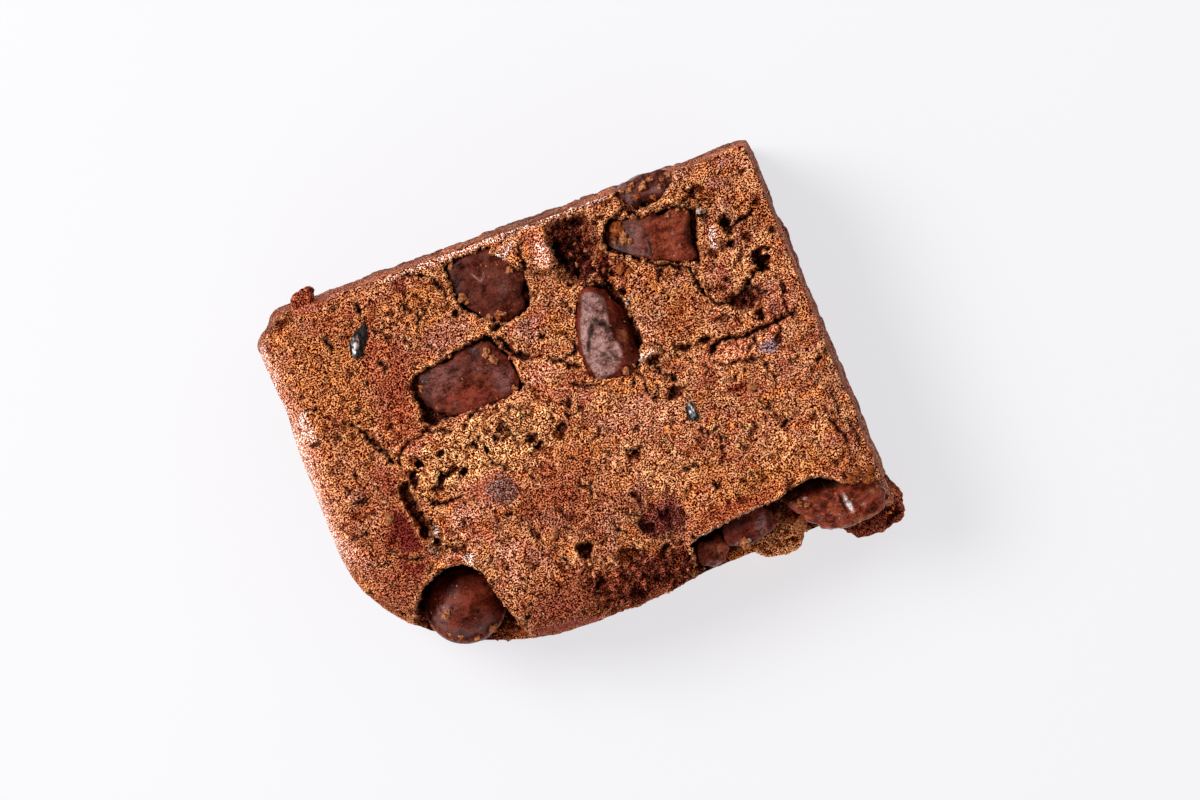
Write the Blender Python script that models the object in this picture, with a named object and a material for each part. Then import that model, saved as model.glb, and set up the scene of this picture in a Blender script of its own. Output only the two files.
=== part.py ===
"""A corner piece of chocolate chunk brownie: one crumb body with its relief, and nine pieces of chocolate.

Plan sizes are millimetres from the middle of the piece: X runs east along the long side, Y north, and Z up
from the underside. The west and south sides are baked edges, and the north and east sides are cut faces.
Each mesh is scaled to metres when it is finished. Runs with blender --background --python part.py.
"""

import math

import bmesh
import bpy
from mathutils import Matrix, Vector, noise

MM = 0.001

# Driving sizes of the whole piece
WEST = -37.9
EAST = 35.0
SOUTH = -27.1
NORTH = 27.3
PLATE_TOP = 22.6

# The cut sides aren't square to the baked ones: slant, where it starts, and over what run it sets in
NORTH_SLANT = (0.027, 5.0, 20.0)
EAST_SLANT = (0.018, 15.0, 20.0)

# East of the middle the south side steps in, and the west side has a shallow dent: place, length and depth
SOUTH_STEP = (0.0, 10.0, 1.0)
WEST_DENT = (16.0, 4.0, 0.5)
SIDE_REACH = ((-15.0, 10.0), (-30.0, 6.0))

# Rounded corners in plan: centre and radii
SOUTHWEST_CORNER = ((-8.0, -5.0), (29.9, 22.1))
NORTHWEST_CORNER = ((-32.4, 23.6), (5.5, 3.7))

# The baked edge rolls over: how far in the roll starts and how far down it ends
WEST_ROLL = (4.8, 7.0)
SOUTH_ROLL = (8.5, 9.0)

# The swell south of the ledge, how wide its slope is at the ledge, west and east, and the line it rises along
SWELL_RISE = 1.1
SWELL_SLOPES = (2.4, 2.5, 6.0)
SWELL_ENDS = (-27.0, 36.5)
LEDGE = ((-26.0, 2.0), (-24.0, 5.0), (-17.0, 5.2), (-8.0, 6.2), (0.0, 5.0), (8.0, 3.0), (20.0, 1.8),
         (34.0, 2.3))

# Unevenness of the crust: wavelength and height of each layer
UNEVENNESS = ((13.0, 0.55), (5.0, 0.35), (2.6, 0.22))

# The wall: how far the cut faces flare, the baked ones bulge and lean in, and the foot tucks in
CUT_FROM = (23.5, 31.5)
CUT_BLEND = 3.0
CUT_FLARE = 1.15
FLARE_RATE = 2.2
BAKED_BULGE = 0.25
BAKED_LEAN = 0.6
FOOT_TUCK = 0.8
FOOT_FROM = 0.9
WALL_ROUGHNESS = 0.35

# Mesh steps
TOP_CELLS = (50, 40)
WALL_STEPS = (0.2, 0.45, 0.7, 0.93, 1.0)

# Chocolate keeps this far from the crumb round it
GAP = 0.35

# Corners of the finished crumb nearer to each other than this become one
CORNER_MERGE = 0.012

# Hollows: outline, and depth below the crust
HOLLOWS = {
    "round_north_chunk": (
        ((0.3, 20.5), (-0.4, 22.1), (-2.2, 22.8), (-3.9, 23.9), (-3.2, 25.2), (-2.8, 26.4), (-6.5, 26.7),
         (-9.8, 26.2), (-10.1, 23.0), (-9.9, 20.2), (-8.0, 17.6), (-5.6, 16.0), (-2.2, 15.8),
         (-0.2, 17.4)), 2.2),
    "round_west_chunk": (
        ((-5.5, 8.4), (-5.9, 11.2), (-7.4, 14.8), (-10.8, 15.2), (-14.6, 14.4), (-18.2, 14.0), (-20.2, 12.8),
         (-20.4, 9.6), (-20.0, 6.4), (-15.5, 6.1), (-10.0, 6.0), (-6.2, 6.3)), 2.4),
    "round_middle_chunk": (
        ((12.3, 8.4), (11.6, 11.0), (11.6, 13.4), (9.9, 15.9), (7.0, 16.3), (5.2, 14.8), (4.1, 11.8),
         (3.3, 8.0), (3.3, 5.0), (5.2, 3.5), (8.6, 3.0), (11.0, 4.6)), 3.2),
    "round_northeast_chunk": (
        ((25.2, 20.4), (23.0, 22.2), (18.6, 22.7), (15.9, 23.3), (13.6, 24.0), (11.6, 21.9), (12.2, 19.2),
         (15.2, 17.1), (18.6, 15.4), (21.6, 14.1), (23.1, 13.7), (24.3, 17.2)), 2.2),
    "round_edge_chunk": (
        ((24.8, 26.8), (25.0, 29.5), (20.0, 30.5), (15.2, 29.5), (15.4, 26.6), (16.6, 24.3), (18.9, 23.3),
         (22.6, 24.2)), 2.2),
    "crater": (
        ((10.2, 22.6), (10.5, 25.2), (8.6, 26.1), (6.2, 25.6), (5.2, 23.4), (5.3, 20.4), (6.6, 17.9),
         (8.6, 18.0), (9.4, 20.2)), 1.9),
    "square_hole": (
        ((-4.8, -17.0), (-5.6, -16.2), (-6.8, -16.4), (-6.8, -17.9), (-5.8, -18.4)), 2.2),
    "slanting_hole": (
        ((29.2, 16.9), (28.4, 18.7), (27.7, 18.4), (27.9, 16.2), (28.7, 15.7)), 2.0),
    "east_hole": (
        ((32.1, 10.8), (31.4, 12.2), (30.0, 12.3), (29.9, 10.6), (31.0, 9.1)), 1.7),
    "crumb_pit": (
        ((29.0, 6.8), (27.9, 8.3), (25.9, 8.1), (24.9, 7.1), (25.9, 5.5), (28.0, 5.2)), 1.3),
    "narrow_hole": (
        ((28.8, 3.9), (28.1, 4.9), (27.5, 3.9), (28.1, 2.9)), 2.0),
    "hole_between_chunks": (
        ((-5.0, 15.4), (-6.1, 16.4), (-7.5, 16.0), (-6.8, 14.9)), 1.8),
    "first_ledge_hole": (
        ((13.3, 3.6), (12.3, 4.4), (11.1, 3.8), (12.3, 2.9)), 1.6),
    "second_ledge_hole": (
        ((18.0, 3.6), (16.9, 4.1), (15.9, 3.6), (16.9, 3.0)), 1.6),
    "third_ledge_hole": (
        ((20.7, 3.6), (19.7, 4.1), (18.7, 3.6), (19.7, 3.0)), 1.6),
    "swell_hole": (
        ((14.8, -1.6), (13.6, -1.0), (12.0, -2.1), (13.4, -2.5)), 1.2),
    "west_gap": (
        ((-25.0, -3.0), (-25.3, 0.5), (-26.4, 0.4), (-26.8, -2.4), (-26.5, -5.4), (-25.6, -8.6),
         (-24.7, -6.0)), 2.6),
}

HOLLOW_REACH = 3.0
FLAKE_ROOT = 1.0

CRACK_REACH = 1.6
CRACK_END = 0.45

# Cracks: points, width at the crust and depth
CRACKS = {
    "plate_crack": (
        ((16.4, 16.2), (17.3, 15.5), (19.2, 14.9), (20.4, 14.4), (21.5, 13.0), (21.9, 11.6), (21.8, 9.6),
         (22.7, 8.2), (24.2, 7.2), (25.4, 6.6)), 0.55, 1.4),
    "plate_corner_crack": (((27.6, 8.4), (28.9, 9.1), (30.4, 10.2)), 0.5, 1.1),
    "ledge_crack": (
        ((19.8, 1.2), (20.5, 2.3), (22.2, 2.8), (24.4, 2.2), (27.0, 2.1), (29.8, 2.5), (33.0, 2.7)), 0.7, 1.6),
    "west_crack": (((-29.7, 10.7), (-28.2, 8.7), (-27.5, 6.8), (-26.5, 5.0), (-26.0, 3.2)), 0.6, 1.4),
    "middle_crack": (((-6.6, 14.6), (-6.0, 13.0), (-5.2, 11.2), (-3.4, 10.4)), 0.7, 1.5),
    "north_crack": (((-12.0, 25.2), (-11.3, 23.6), (-10.8, 22.0)), 0.5, 1.1),
    "fold_crack": (((-0.8, 8.9), (0.9, 7.6), (2.6, 6.1)), 0.5, 1.0),
    "east_crack": (((29.4, 16.7), (31.0, 17.3), (32.8, 17.8)), 0.45, 1.0),
    "swell_crack": (((-23.0, -3.9), (-21.0, -4.3), (-18.7, -4.1)), 0.5, 1.0),
    "south_crack": (((31.6, -12.6), (32.4, -14.8), (33.2, -17.2)), 0.5, 1.0),
}

# Where the crust has broken away over the south edge, and over the southwest drop
SOUTH_BREAK = ((7.6, -23.6), (8.2, -21.5), (12.0, -20.9), (16.2, -20.5), (20.6, -20.3), (23.2, -19.7),
               (26.2, -19.2), (28.6, -20.1), (30.4, -21.7), (33.4, -22.8), (37.6, -23.8), (39.0, -31.0),
               (24.0, -32.0), (8.0, -31.0))
SOUTH_BREAK_FLOOR = 16.0
WEST_BREAK = ((-31.4, -17.0), (-30.3, -14.8), (-27.6, -12.9), (-24.2, -12.2), (-21.3, -13.0),
              (-19.9, -15.2), (-19.1, -18.6), (-17.7, -23.0), (-17.2, -28.0), (-25.0, -29.0),
              (-33.0, -24.0), (-32.6, -19.4))
WEST_BREAK_FLOOR = 12.6
BREAK_CEILING = 27.0
BREAK_UNDERCUT = 0.9
BREAK_NARROWING = 0.93

# Lumps of crumb that stand out of the sides: outline, height of the top, thickness, and slope of the top
LUMPS = {
    "corner_lump": (
        ((37.9, -26.6), (36.8, -24.2), (34.4, -22.6), (30.4, -23.4), (28.4, -27.0), (30.0, -29.7),
         (33.2, -30.1), (36.4, -29.4)), 8.8, 8.3, (-0.05, 0.12)),
    "south_lump": (
        ((23.1, -25.6), (21.4, -23.4), (17.6, -23.4), (16.0, -25.6), (17.6, -27.7), (20.4, -28.0),
         (22.4, -27.2)), 14.6, 9.0, (-0.06, 0.15)),
    "northwest_lump": (
        ((-27.9, 29.0), (-28.0, 30.2), (-29.6, 30.3), (-31.4, 29.2), (-31.0, 27.4), (-28.6, 27.2)),
        21.4, 4.0, (0.0, 0.0)),
}
LUMP_ROUGHNESS = 0.35

# Raised crust flakes and dark bits that lie on the crust: outline and rise
FLAKES = {
    "flake_by_north_chunk": (
        ((4.9, 23.6), (4.4, 26.2), (1.4, 26.6), (-1.4, 25.9), (-3.6, 23.9), (-1.6, 22.9), (0.9, 21.2),
         (3.4, 20.4)), 0.7),
    "dark_flake": (
        ((-22.9, 21.6), (-23.3, 22.6), (-25.0, 21.2), (-25.9, 19.4), (-24.9, 18.8), (-23.6, 20.0)), 0.8),
    "grey_flake": (((29.0, -0.1), (27.6, 0.6), (26.1, 0.0), (27.4, -0.8)), 0.4),
    "glint_flake": (((15.0, -4.8), (14.5, -3.9), (13.9, -4.9), (14.5, -5.9)), 0.45),
    "flake_by_northeast_chunk": (
        ((25.6, 21.0), (24.4, 23.4), (21.6, 23.3), (18.4, 24.6), (17.4, 23.8), (20.2, 23.0),
         (23.2, 22.6)), 0.6),
    "flake_by_middle_chunk": (
        ((13.6, 4.3), (12.6, 5.6), (11.4, 5.9), (10.4, 4.6), (11.6, 4.2)), 0.6),
}

# Chocolate pieces: outline, height of the top, thickness, and slope of the top along X and Y
CHUNKS = {
    "chunk_north": (
        ((-0.5, 20.6), (-1.4, 23.4), (-3.6, 25.6), (-6.4, 26.0), (-8.9, 25.0), (-9.5, 22.4), (-8.9, 19.9),
         (-7.0, 17.7), (-4.4, 16.6), (-2.0, 17.2)), 22.0, 6.4, (0.0, 0.01)),
    "chunk_west": (
        ((-6.3, 8.4), (-6.9, 11.0), (-8.3, 13.9), (-11.4, 14.2), (-15.0, 13.6), (-18.0, 13.2), (-18.7, 10.6),
         (-18.3, 7.9), (-14.8, 6.9), (-10.6, 6.8), (-7.2, 6.9)), 22.3, 7.0, (0.02, -0.03)),
    "chunk_middle": (
        ((11.0, 8.2), (10.8, 11.2), (9.9, 14.1), (7.6, 15.3), (5.9, 14.0), (4.8, 11.2), (4.2, 8.0),
         (4.3, 5.4), (6.0, 4.3), (8.6, 4.2), (10.4, 5.6)), 23.7, 9.0, (0.10, 0.0)),
    "chunk_northeast": (
        ((24.0, 19.9), (22.6, 21.5), (18.6, 21.9), (15.2, 22.6), (13.2, 21.9), (12.9, 20.2), (15.6, 18.0),
         (18.6, 16.4), (21.2, 15.1), (22.5, 15.2), (23.4, 17.4)), 22.4, 6.0, (-0.02, 0.02)),
    "chunk_edge": (
        ((23.9, 26.4), (22.4, 27.6), (19.8, 27.9), (17.0, 27.7), (16.1, 26.4), (17.3, 24.7), (19.2, 24.1),
         (22.2, 24.9)), 21.9, 5.6, (0.0, -0.03)),
    "chunk_south_small": (
        ((12.0, -24.4), (11.5, -22.7), (9.9, -22.2), (8.7, -23.2), (8.4, -25.2), (9.6, -26.0), (11.4, -25.9)),
        18.6, 4.8, (0.05, 0.12)),
    "chunk_south": (
        ((19.2, -22.0), (17.8, -20.9), (15.0, -20.6), (13.1, -21.7), (13.0, -23.6), (14.6, -24.7),
         (17.2, -24.5), (18.8, -23.6)), 20.0, 5.4, (-0.10, 0.16)),
    "chunk_southeast": (
        ((35.1, -24.6), (34.0, -22.7), (30.4, -21.6), (27.4, -20.4), (24.4, -20.2), (22.6, -21.2),
         (23.9, -23.8), (25.4, -26.4), (28.2, -27.6), (31.8, -27.7), (34.3, -26.8)), 20.6, 8.0, (-0.04, 0.16)),
}
SLAB_SIDES = 16
SLAB_RINGS = 6

# Cut facets: the X of the edge, its height, and how steeply the top falls east of it
CHUNK_FACETS = {"chunk_middle": (8.5, 23.6, 1.35)}

# The drop: radius and height of each ring, from the tip down to the base, and its place and lean
DROP_RINGS = ((0.0, 4.8), (1.7, 4.6), (3.2, 3.9), (4.4, 2.7), (4.9, 1.3), (5.1, 0.2), (5.8, -0.4),
              (5.9, -1.1), (5.3, -1.7), (0.0, -1.8))
DROP_NAME = "drop_southwest"
DROP_CENTRE = (-24.3, -18.6, 15.2)
DROP_LEAN = math.radians(17.0)
DROP_SIDES = 20

# The chip that lies just under the crust lifts it a little
BURIED_CHIP = ((-14.4, -5.0), 3.4, 0.5)

COLOURS = {
    "crumb": ((0.27, 0.105, 0.045), 0.85),
    "dark chocolate": ((0.072, 0.021, 0.013), 0.38),
}


def smoothstep(t):
    t = min(max(t, 0.0), 1.0)
    return t * t * (3.0 - 2.0 * t)


def bump(x, y, wavelength, seed):
    return noise.noise(Vector((x / wavelength, y / wavelength, seed)))


def along(points, x):
    """The Y of an open line of points at X, straight between the points."""
    for (x0, y0), (x1, y1) in zip(points, points[1:]):
        if x <= x1:
            share = min(max((x - x0) / (x1 - x0), 0.0), 1.0)
            return y0 + (y1 - y0) * share
    return points[-1][1]


def on_outline(points, share):
    """The place on a smooth closed curve through the points, share from 0 to 1 of the way round."""
    count = len(points)
    place = (share % 1.0) * count
    i = int(place)
    t = place - i
    p0, p1, p2, p3 = (Vector(points[(i + k) % count]) for k in (-1, 0, 1, 2))
    return 0.5 * (2 * p1 + (p2 - p0) * t + (2 * p0 - 5 * p1 + 4 * p2 - p3) * t * t
                  + (3 * p1 - p0 - 3 * p2 + p3) * t ** 3)


def rounded(x, y, corner, side_x, side_y):
    """Moves a place in a square corner of the plan to where the rounded corner has it."""
    (cx, cy), (rx, ry) = corner
    a = (x - cx) / rx
    b = (y - cy) / ry
    if a * side_x <= 0 or b * side_y <= 0:
        return x, y
    return cx + rx * a * math.sqrt(1 - b * b / 2), cy + ry * b * math.sqrt(1 - a * a / 2)


def plan(u, v):
    """The place in plan of a grid point, with u and v from 0 at west and south to 1 at east and north."""
    x = WEST + (EAST - WEST) * u
    y = SOUTH + (NORTH - SOUTH) * v
    x, y = rounded(x, y, SOUTHWEST_CORNER, -1, -1)
    x, y = rounded(x, y, NORTHWEST_CORNER, -1, 1)
    slant, start, run = NORTH_SLANT
    y -= slant * x * smoothstep((y - start) / run)
    slant, start, run = EAST_SLANT
    x -= slant * y * smoothstep((x - start) / run)
    (south, south_run), (west, west_run) = SIDE_REACH
    start, length, depth = SOUTH_STEP
    y += depth * smoothstep((x - start) / length) * smoothstep((south - y) / south_run)
    place, length, depth = WEST_DENT
    x += depth * math.exp(-((y - place) / length) ** 2) * smoothstep((west - x) / west_run)
    return x, y


def baked_distance(x, y):
    """How far a place is in from the baked edge, and how much of that edge faces south."""
    (cx, cy), (rx, ry) = SOUTHWEST_CORNER
    a = min(x - cx, 0.0) / rx
    b = min(y - cy, 0.0) / ry
    out = math.hypot(a, b)
    if out == 0:
        return 99.0, 0.0
    reach = math.hypot(a * rx, b * ry) / out
    return (1 - out) * reach, smoothstep(-b / out)


def crust_height(x, y):
    """The height of the crust before anything is cut into it."""
    swell = smoothstep((along(LEDGE, x) - y) / SWELL_SLOPES[0])
    swell *= smoothstep((x - SWELL_ENDS[0]) / SWELL_SLOPES[1])
    swell *= smoothstep((SWELL_ENDS[1] - x) / SWELL_SLOPES[2])
    z = PLATE_TOP + SWELL_RISE * swell
    for layer, (wavelength, height) in enumerate(UNEVENNESS):
        z += height * bump(x, y, wavelength, layer + 1.0)
    (bx, by), radius, rise = BURIED_CHIP
    z += rise * (1 - smoothstep(math.hypot(x - bx, y - by) / radius))
    inward, south = baked_distance(x, y)
    width = WEST_ROLL[0] + (SOUTH_ROLL[0] - WEST_ROLL[0]) * south
    drop = WEST_ROLL[1] + (SOUTH_ROLL[1] - WEST_ROLL[1]) * south
    over = min(max(1 - inward / width, 0.0), 1.0)
    return z - drop * (1 - math.sqrt(1 - over * over))


def cut_share(x, y):
    """1 on the cut north and east faces, and 0 on the baked ones."""
    return max(smoothstep((y - CUT_FROM[0]) / CUT_BLEND), smoothstep((x - CUT_FROM[1]) / CUT_BLEND))


def shape_body(bm):
    """Grid over the crust, then rings down the wall and one flat face underneath."""
    bmesh.ops.create_grid(bm, x_segments=TOP_CELLS[0], y_segments=TOP_CELLS[1], size=0.5)
    for vert in bm.verts:
        x, y = plan(vert.co.x + 0.5, vert.co.y + 0.5)
        vert.co = (x, y, crust_height(x, y))
    rim = {}
    bm.edges.ensure_lookup_table()
    edges = [edge for edge in bm.edges if edge.is_boundary]
    for edge in edges:
        for vert in edge.verts:
            rim[vert] = outward(vert)
    above = {vert: (vert.co.copy(), rim[vert]) for vert in rim}
    for share in WALL_STEPS:
        made = bmesh.ops.extrude_edge_only(bm, edges=edges)["geom"]
        edges = [item for item in made if isinstance(item, bmesh.types.BMEdge) and item.is_boundary]
        below = {}
        for vert in {vert for edge in edges for vert in edge.verts}:
            start = next(edge.other_vert(vert) for edge in vert.link_edges if edge.other_vert(vert) in above)
            top, away = above[start]
            vert.co = wall_place(top, away, share)
            below[vert] = (top, away)
        above = below
    underside = bmesh.ops.contextual_create(bm, geom=edges)["faces"]
    bmesh.ops.poke(bm, faces=underside)
    bmesh.ops.recalc_face_normals(bm, faces=bm.faces)


def outward(vert):
    """The level direction away from the body at a vertex of the open rim."""
    ends = [edge.other_vert(vert).co for edge in vert.link_edges if edge.is_boundary]
    run = ends[1] - ends[0]
    away = Vector((run.y, -run.x, 0)).normalized()
    return away if away.dot(vert.co - Vector((0, 0, vert.co.z))) > 0 else -away


def wall_place(top, away, share):
    """The place on the wall below a rim point, share of the way down."""
    cut = cut_share(top.x, top.y)
    middle = math.sin(math.pi * share)
    flare = CUT_FLARE * smoothstep(share * FLARE_RATE)
    bulge = BAKED_BULGE * middle - BAKED_LEAN * share
    reach = cut * flare + (1 - cut) * bulge - FOOT_TUCK * smoothstep((share - FOOT_FROM) / (1 - FOOT_FROM))
    reach += WALL_ROUGHNESS * middle * noise.noise(top * 0.3 + Vector((0, 0, 4 * share)))
    return Vector((top.x, top.y, top.z * (1 - share))) + away * reach


def middle_of(outline):
    return sum((Vector(point) for point in outline), Vector((0, 0))) / len(outline)


def shape_prism(bm, outline, low, high, sides):
    bmesh.ops.create_circle(bm, cap_ends=True, segments=sides, radius=1.0)
    bm.verts.ensure_lookup_table()
    for i, vert in enumerate(bm.verts):
        vert.co = (*on_outline(outline, i / sides), low)
    made = bmesh.ops.extrude_face_region(bm, geom=bm.faces[:])["geom"]
    bmesh.ops.translate(bm, verts=[item for item in made if isinstance(item, bmesh.types.BMVert)],
                        vec=(0, 0, high - low))
    bmesh.ops.recalc_face_normals(bm, faces=bm.faces)


def shape_break(bm, outline, floor, undercut):
    """A break in the crust, narrower at its foot, which the undercut moves north under the crust."""
    shape_prism(bm, outline, floor, BREAK_CEILING, 24)
    middle = middle_of(outline)
    for vert in bm.verts:
        if vert.co.z < BREAK_CEILING - 1:
            vert.co.x = middle.x + (vert.co.x - middle.x) * BREAK_NARROWING
            vert.co.y = middle.y + (vert.co.y - middle.y) * BREAK_NARROWING + undercut


def shape_crack(bm, points, width, depth):
    """A wedge that runs along the points, narrow at both ends, with its edge down in the crust."""
    corner = bm.verts.layers.int.new("corner")
    bmesh.ops.create_circle(bm, cap_ends=True, segments=3, radius=1.0)
    section = bm.verts[:]
    for i, vert in enumerate(section):
        vert[corner] = i
    for i, point in enumerate(points):
        if i:
            end = next(face for face in bm.faces if set(face.verts) == set(section))
            made = bmesh.ops.extrude_face_region(bm, geom=[end])["geom"]
            section = [item for item in made if isinstance(item, bmesh.types.BMVert)]
            if i > 1:
                bmesh.ops.delete(bm, geom=[end], context="FACES_ONLY")
        before = Vector(points[max(i - 1, 0)])
        after = Vector(points[min(i + 1, len(points) - 1)])
        run = (after - before).normalized()
        narrow = CRACK_END if i in (0, len(points) - 1) else 1.0
        half = 0.5 * width * narrow * (depth + CRACK_REACH) / depth
        crust = crust_height(*point)
        left = (point[0] - run.y * half, point[1] + run.x * half, crust + CRACK_REACH)
        right = (point[0] + run.y * half, point[1] - run.x * half, crust + CRACK_REACH)
        foot = (point[0], point[1], crust - depth * narrow)
        for vert in section:
            vert.co = (left, right, foot)[vert[corner]]
    bmesh.ops.recalc_face_normals(bm, faces=bm.faces)


def shape_slab(bm, outline, top, thick, slope):
    """A slab with rounded edges over an outline: square towards the rim, and nearly flat on top."""
    middle = middle_of(outline)
    bmesh.ops.create_uvsphere(bm, u_segments=SLAB_SIDES, v_segments=SLAB_RINGS, radius=1.0)
    for vert in bm.verts:
        x, y, z = vert.co
        rim = on_outline(outline, math.atan2(y, x) / math.tau) - middle
        place = middle + rim * math.hypot(x, y) ** 0.5
        lift = math.copysign(abs(z) ** 0.5, z) * thick / 2
        fall = (place.x - middle.x) * slope[0] + (place.y - middle.y) * slope[1]
        vert.co = (place.x, place.y, top - thick / 2 + lift + fall)


def shape_lump(bm, *sizes):
    shape_slab(bm, *sizes)
    for vert in bm.verts:
        vert.co += vert.co.normalized() * LUMP_ROUGHNESS * noise.noise(vert.co * 0.6)


def shape_chunk(bm, name):
    """One piece of chocolate. A cut facet lets its top fall away past an edge."""
    outline, top, thick, slope = CHUNKS[name]
    shape_slab(bm, outline, top, thick, slope)
    if name in CHUNK_FACETS:
        edge, level, fall = CHUNK_FACETS[name]
        for vert in bm.verts:
            vert.co.z = min(vert.co.z, max(level - fall * (vert.co.x - edge), top - thick * 0.55))


def shape_drop(bm):
    """The turned chocolate drop, leaning so that its base shows on the south side."""
    rings = len(DROP_RINGS) - 1
    bmesh.ops.create_uvsphere(bm, u_segments=DROP_SIDES, v_segments=rings, radius=1.0)
    for vert in bm.verts:
        ring = round(math.acos(max(-1.0, min(1.0, vert.co.z))) / math.pi * rings)
        angle = math.atan2(vert.co.y, vert.co.x)
        radius, height = DROP_RINGS[ring]
        vert.co = (radius * math.cos(angle), radius * math.sin(angle), height)
    bmesh.ops.rotate(bm, verts=bm.verts, cent=(0, 0, 0), matrix=Matrix.Rotation(-DROP_LEAN, 3, "X"))
    bmesh.ops.translate(bm, verts=bm.verts, vec=DROP_CENTRE)


def grow(bm, amount):
    """Moves every face out, for the space that a piece of chocolate lies in."""
    bm.normal_update()
    moved = [(vert, vert.co + vert.normal * amount) for vert in bm.verts]
    for vert, place in moved:
        vert.co = place


def shape_hollow(bm, outline, depth):
    crust = crust_height(*middle_of(outline))
    shape_prism(bm, outline, crust - depth, crust + HOLLOW_REACH, max(8, len(outline) + 2))


def shape_flake(bm, outline, rise):
    """A low plate that stands out of the crust."""
    crust = crust_height(*middle_of(outline))
    shape_prism(bm, outline, crust - FLAKE_ROOT, crust + rise, len(outline) + 2)


def make_material(name):
    (red, green, blue), roughness = COLOURS[name]
    material = bpy.data.materials.new(name)
    material.use_nodes = True
    shader = material.node_tree.nodes["Principled BSDF"]
    shader.inputs["Base Color"].default_value = (red, green, blue, 1.0)
    shader.inputs["Roughness"].default_value = roughness
    shader.inputs["Metallic"].default_value = 0.0
    material.diffuse_color = (red, green, blue, 1.0)
    return material


def add_object(name, collection, shape, *sizes, material=None):
    """Makes one object from a function that shapes a bmesh in millimetres."""
    bm = bmesh.new()
    shape(bm, *sizes)
    bmesh.ops.scale(bm, verts=bm.verts, vec=(MM, MM, MM))
    mesh = bpy.data.meshes.new(name)
    bm.to_mesh(mesh)
    bm.free()
    obj = bpy.data.objects.new(name, mesh)
    collection.objects.link(obj)
    if material:
        mesh.materials.append(material)
    else:
        obj.hide_render = True
        obj.display_type = "WIRE"
    return obj


def add_collection(name):
    collection = bpy.data.collections.new(name)
    bpy.context.scene.collection.children.link(collection)
    return collection


def add_boolean(body, name, operation, collection):
    modifier = body.modifiers.new(name, "BOOLEAN")
    modifier.operation = operation
    modifier.solver = "EXACT"
    modifier.operand_type = "COLLECTION"
    modifier.collection = collection


def shape_space(bm, name):
    """The space that a piece of chocolate takes in the crumb, with the gap round it."""
    if name == DROP_NAME:
        shape_drop(bm)
    else:
        shape_chunk(bm, name)
    grow(bm, GAP)


def build():
    for obj in list(bpy.data.objects):
        bpy.data.objects.remove(obj, do_unlink=True)
    brownie = add_collection("brownie")
    lumps = add_collection("lumps and flakes")
    hollows = add_collection("hollows")
    crumb = make_material("crumb")
    chocolate = make_material("dark chocolate")

    for name, sizes in LUMPS.items():
        add_object(name, lumps, shape_lump, *sizes)
    for name, (outline, depth) in HOLLOWS.items():
        add_object(name, hollows, shape_hollow, outline, depth)
    for name, (points, width, depth) in CRACKS.items():
        add_object(name, hollows, shape_crack, points, width, depth)
    add_object("south_break", hollows, shape_break, SOUTH_BREAK, SOUTH_BREAK_FLOOR, BREAK_UNDERCUT)
    add_object("west_break", hollows, shape_break, WEST_BREAK, WEST_BREAK_FLOOR, 0.0)
    for name in (*CHUNKS, DROP_NAME):
        add_object("space_" + name, hollows, shape_space, name)
    for name, sizes in FLAKES.items():
        add_object(name, lumps, shape_flake, *sizes)

    body = add_object("brownie_body", brownie, shape_body, material=crumb)
    add_boolean(body, "join lumps", "UNION", lumps)
    add_boolean(body, "cut hollows", "DIFFERENCE", hollows)
    merge = body.modifiers.new("merge close corners", "WELD")
    merge.merge_threshold = CORNER_MERGE * MM
    for name in CHUNKS:
        add_object(name, brownie, shape_chunk, name, material=chocolate).data.shade_smooth()
    add_object(DROP_NAME, brownie, shape_drop, material=chocolate).data.shade_smooth()


build()
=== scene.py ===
"""Finish of a corner piece of chocolate chunk brownie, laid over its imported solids.

Plan sizes are millimetres from the middle of the piece: X runs east along the long side, Y north, and Z up
from the underside, as in the solids. Meshes are scaled to metres when they are finished.
"""

import math
import random

import bmesh
import bpy
import numpy as np
from mathutils import Matrix, Vector, noise
from mathutils.bvhtree import BVHTree


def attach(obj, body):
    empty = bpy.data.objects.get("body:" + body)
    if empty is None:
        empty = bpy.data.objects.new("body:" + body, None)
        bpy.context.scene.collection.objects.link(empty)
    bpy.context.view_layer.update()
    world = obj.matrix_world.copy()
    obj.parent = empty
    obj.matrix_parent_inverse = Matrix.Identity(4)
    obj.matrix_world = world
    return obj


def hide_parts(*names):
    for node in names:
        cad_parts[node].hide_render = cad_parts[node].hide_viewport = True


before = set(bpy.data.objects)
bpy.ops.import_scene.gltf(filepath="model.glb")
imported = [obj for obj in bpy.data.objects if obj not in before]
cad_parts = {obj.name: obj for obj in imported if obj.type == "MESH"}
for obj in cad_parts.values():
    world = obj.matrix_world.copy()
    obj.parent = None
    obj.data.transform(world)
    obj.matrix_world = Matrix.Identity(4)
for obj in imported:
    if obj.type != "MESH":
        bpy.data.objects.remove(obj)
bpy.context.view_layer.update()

bl_info = {
    "name": "Brownie finish",
    "version": (1, 0, 0),
    "blender": (4, 5, 0),
    "location": "View3D > Sidebar > Brownie",
    "description": "Crust, crumb and chocolate of a chocolate chunk brownie over its solids",
    "category": "Object",
}

MM = 0.001
BODY = "root"

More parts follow.
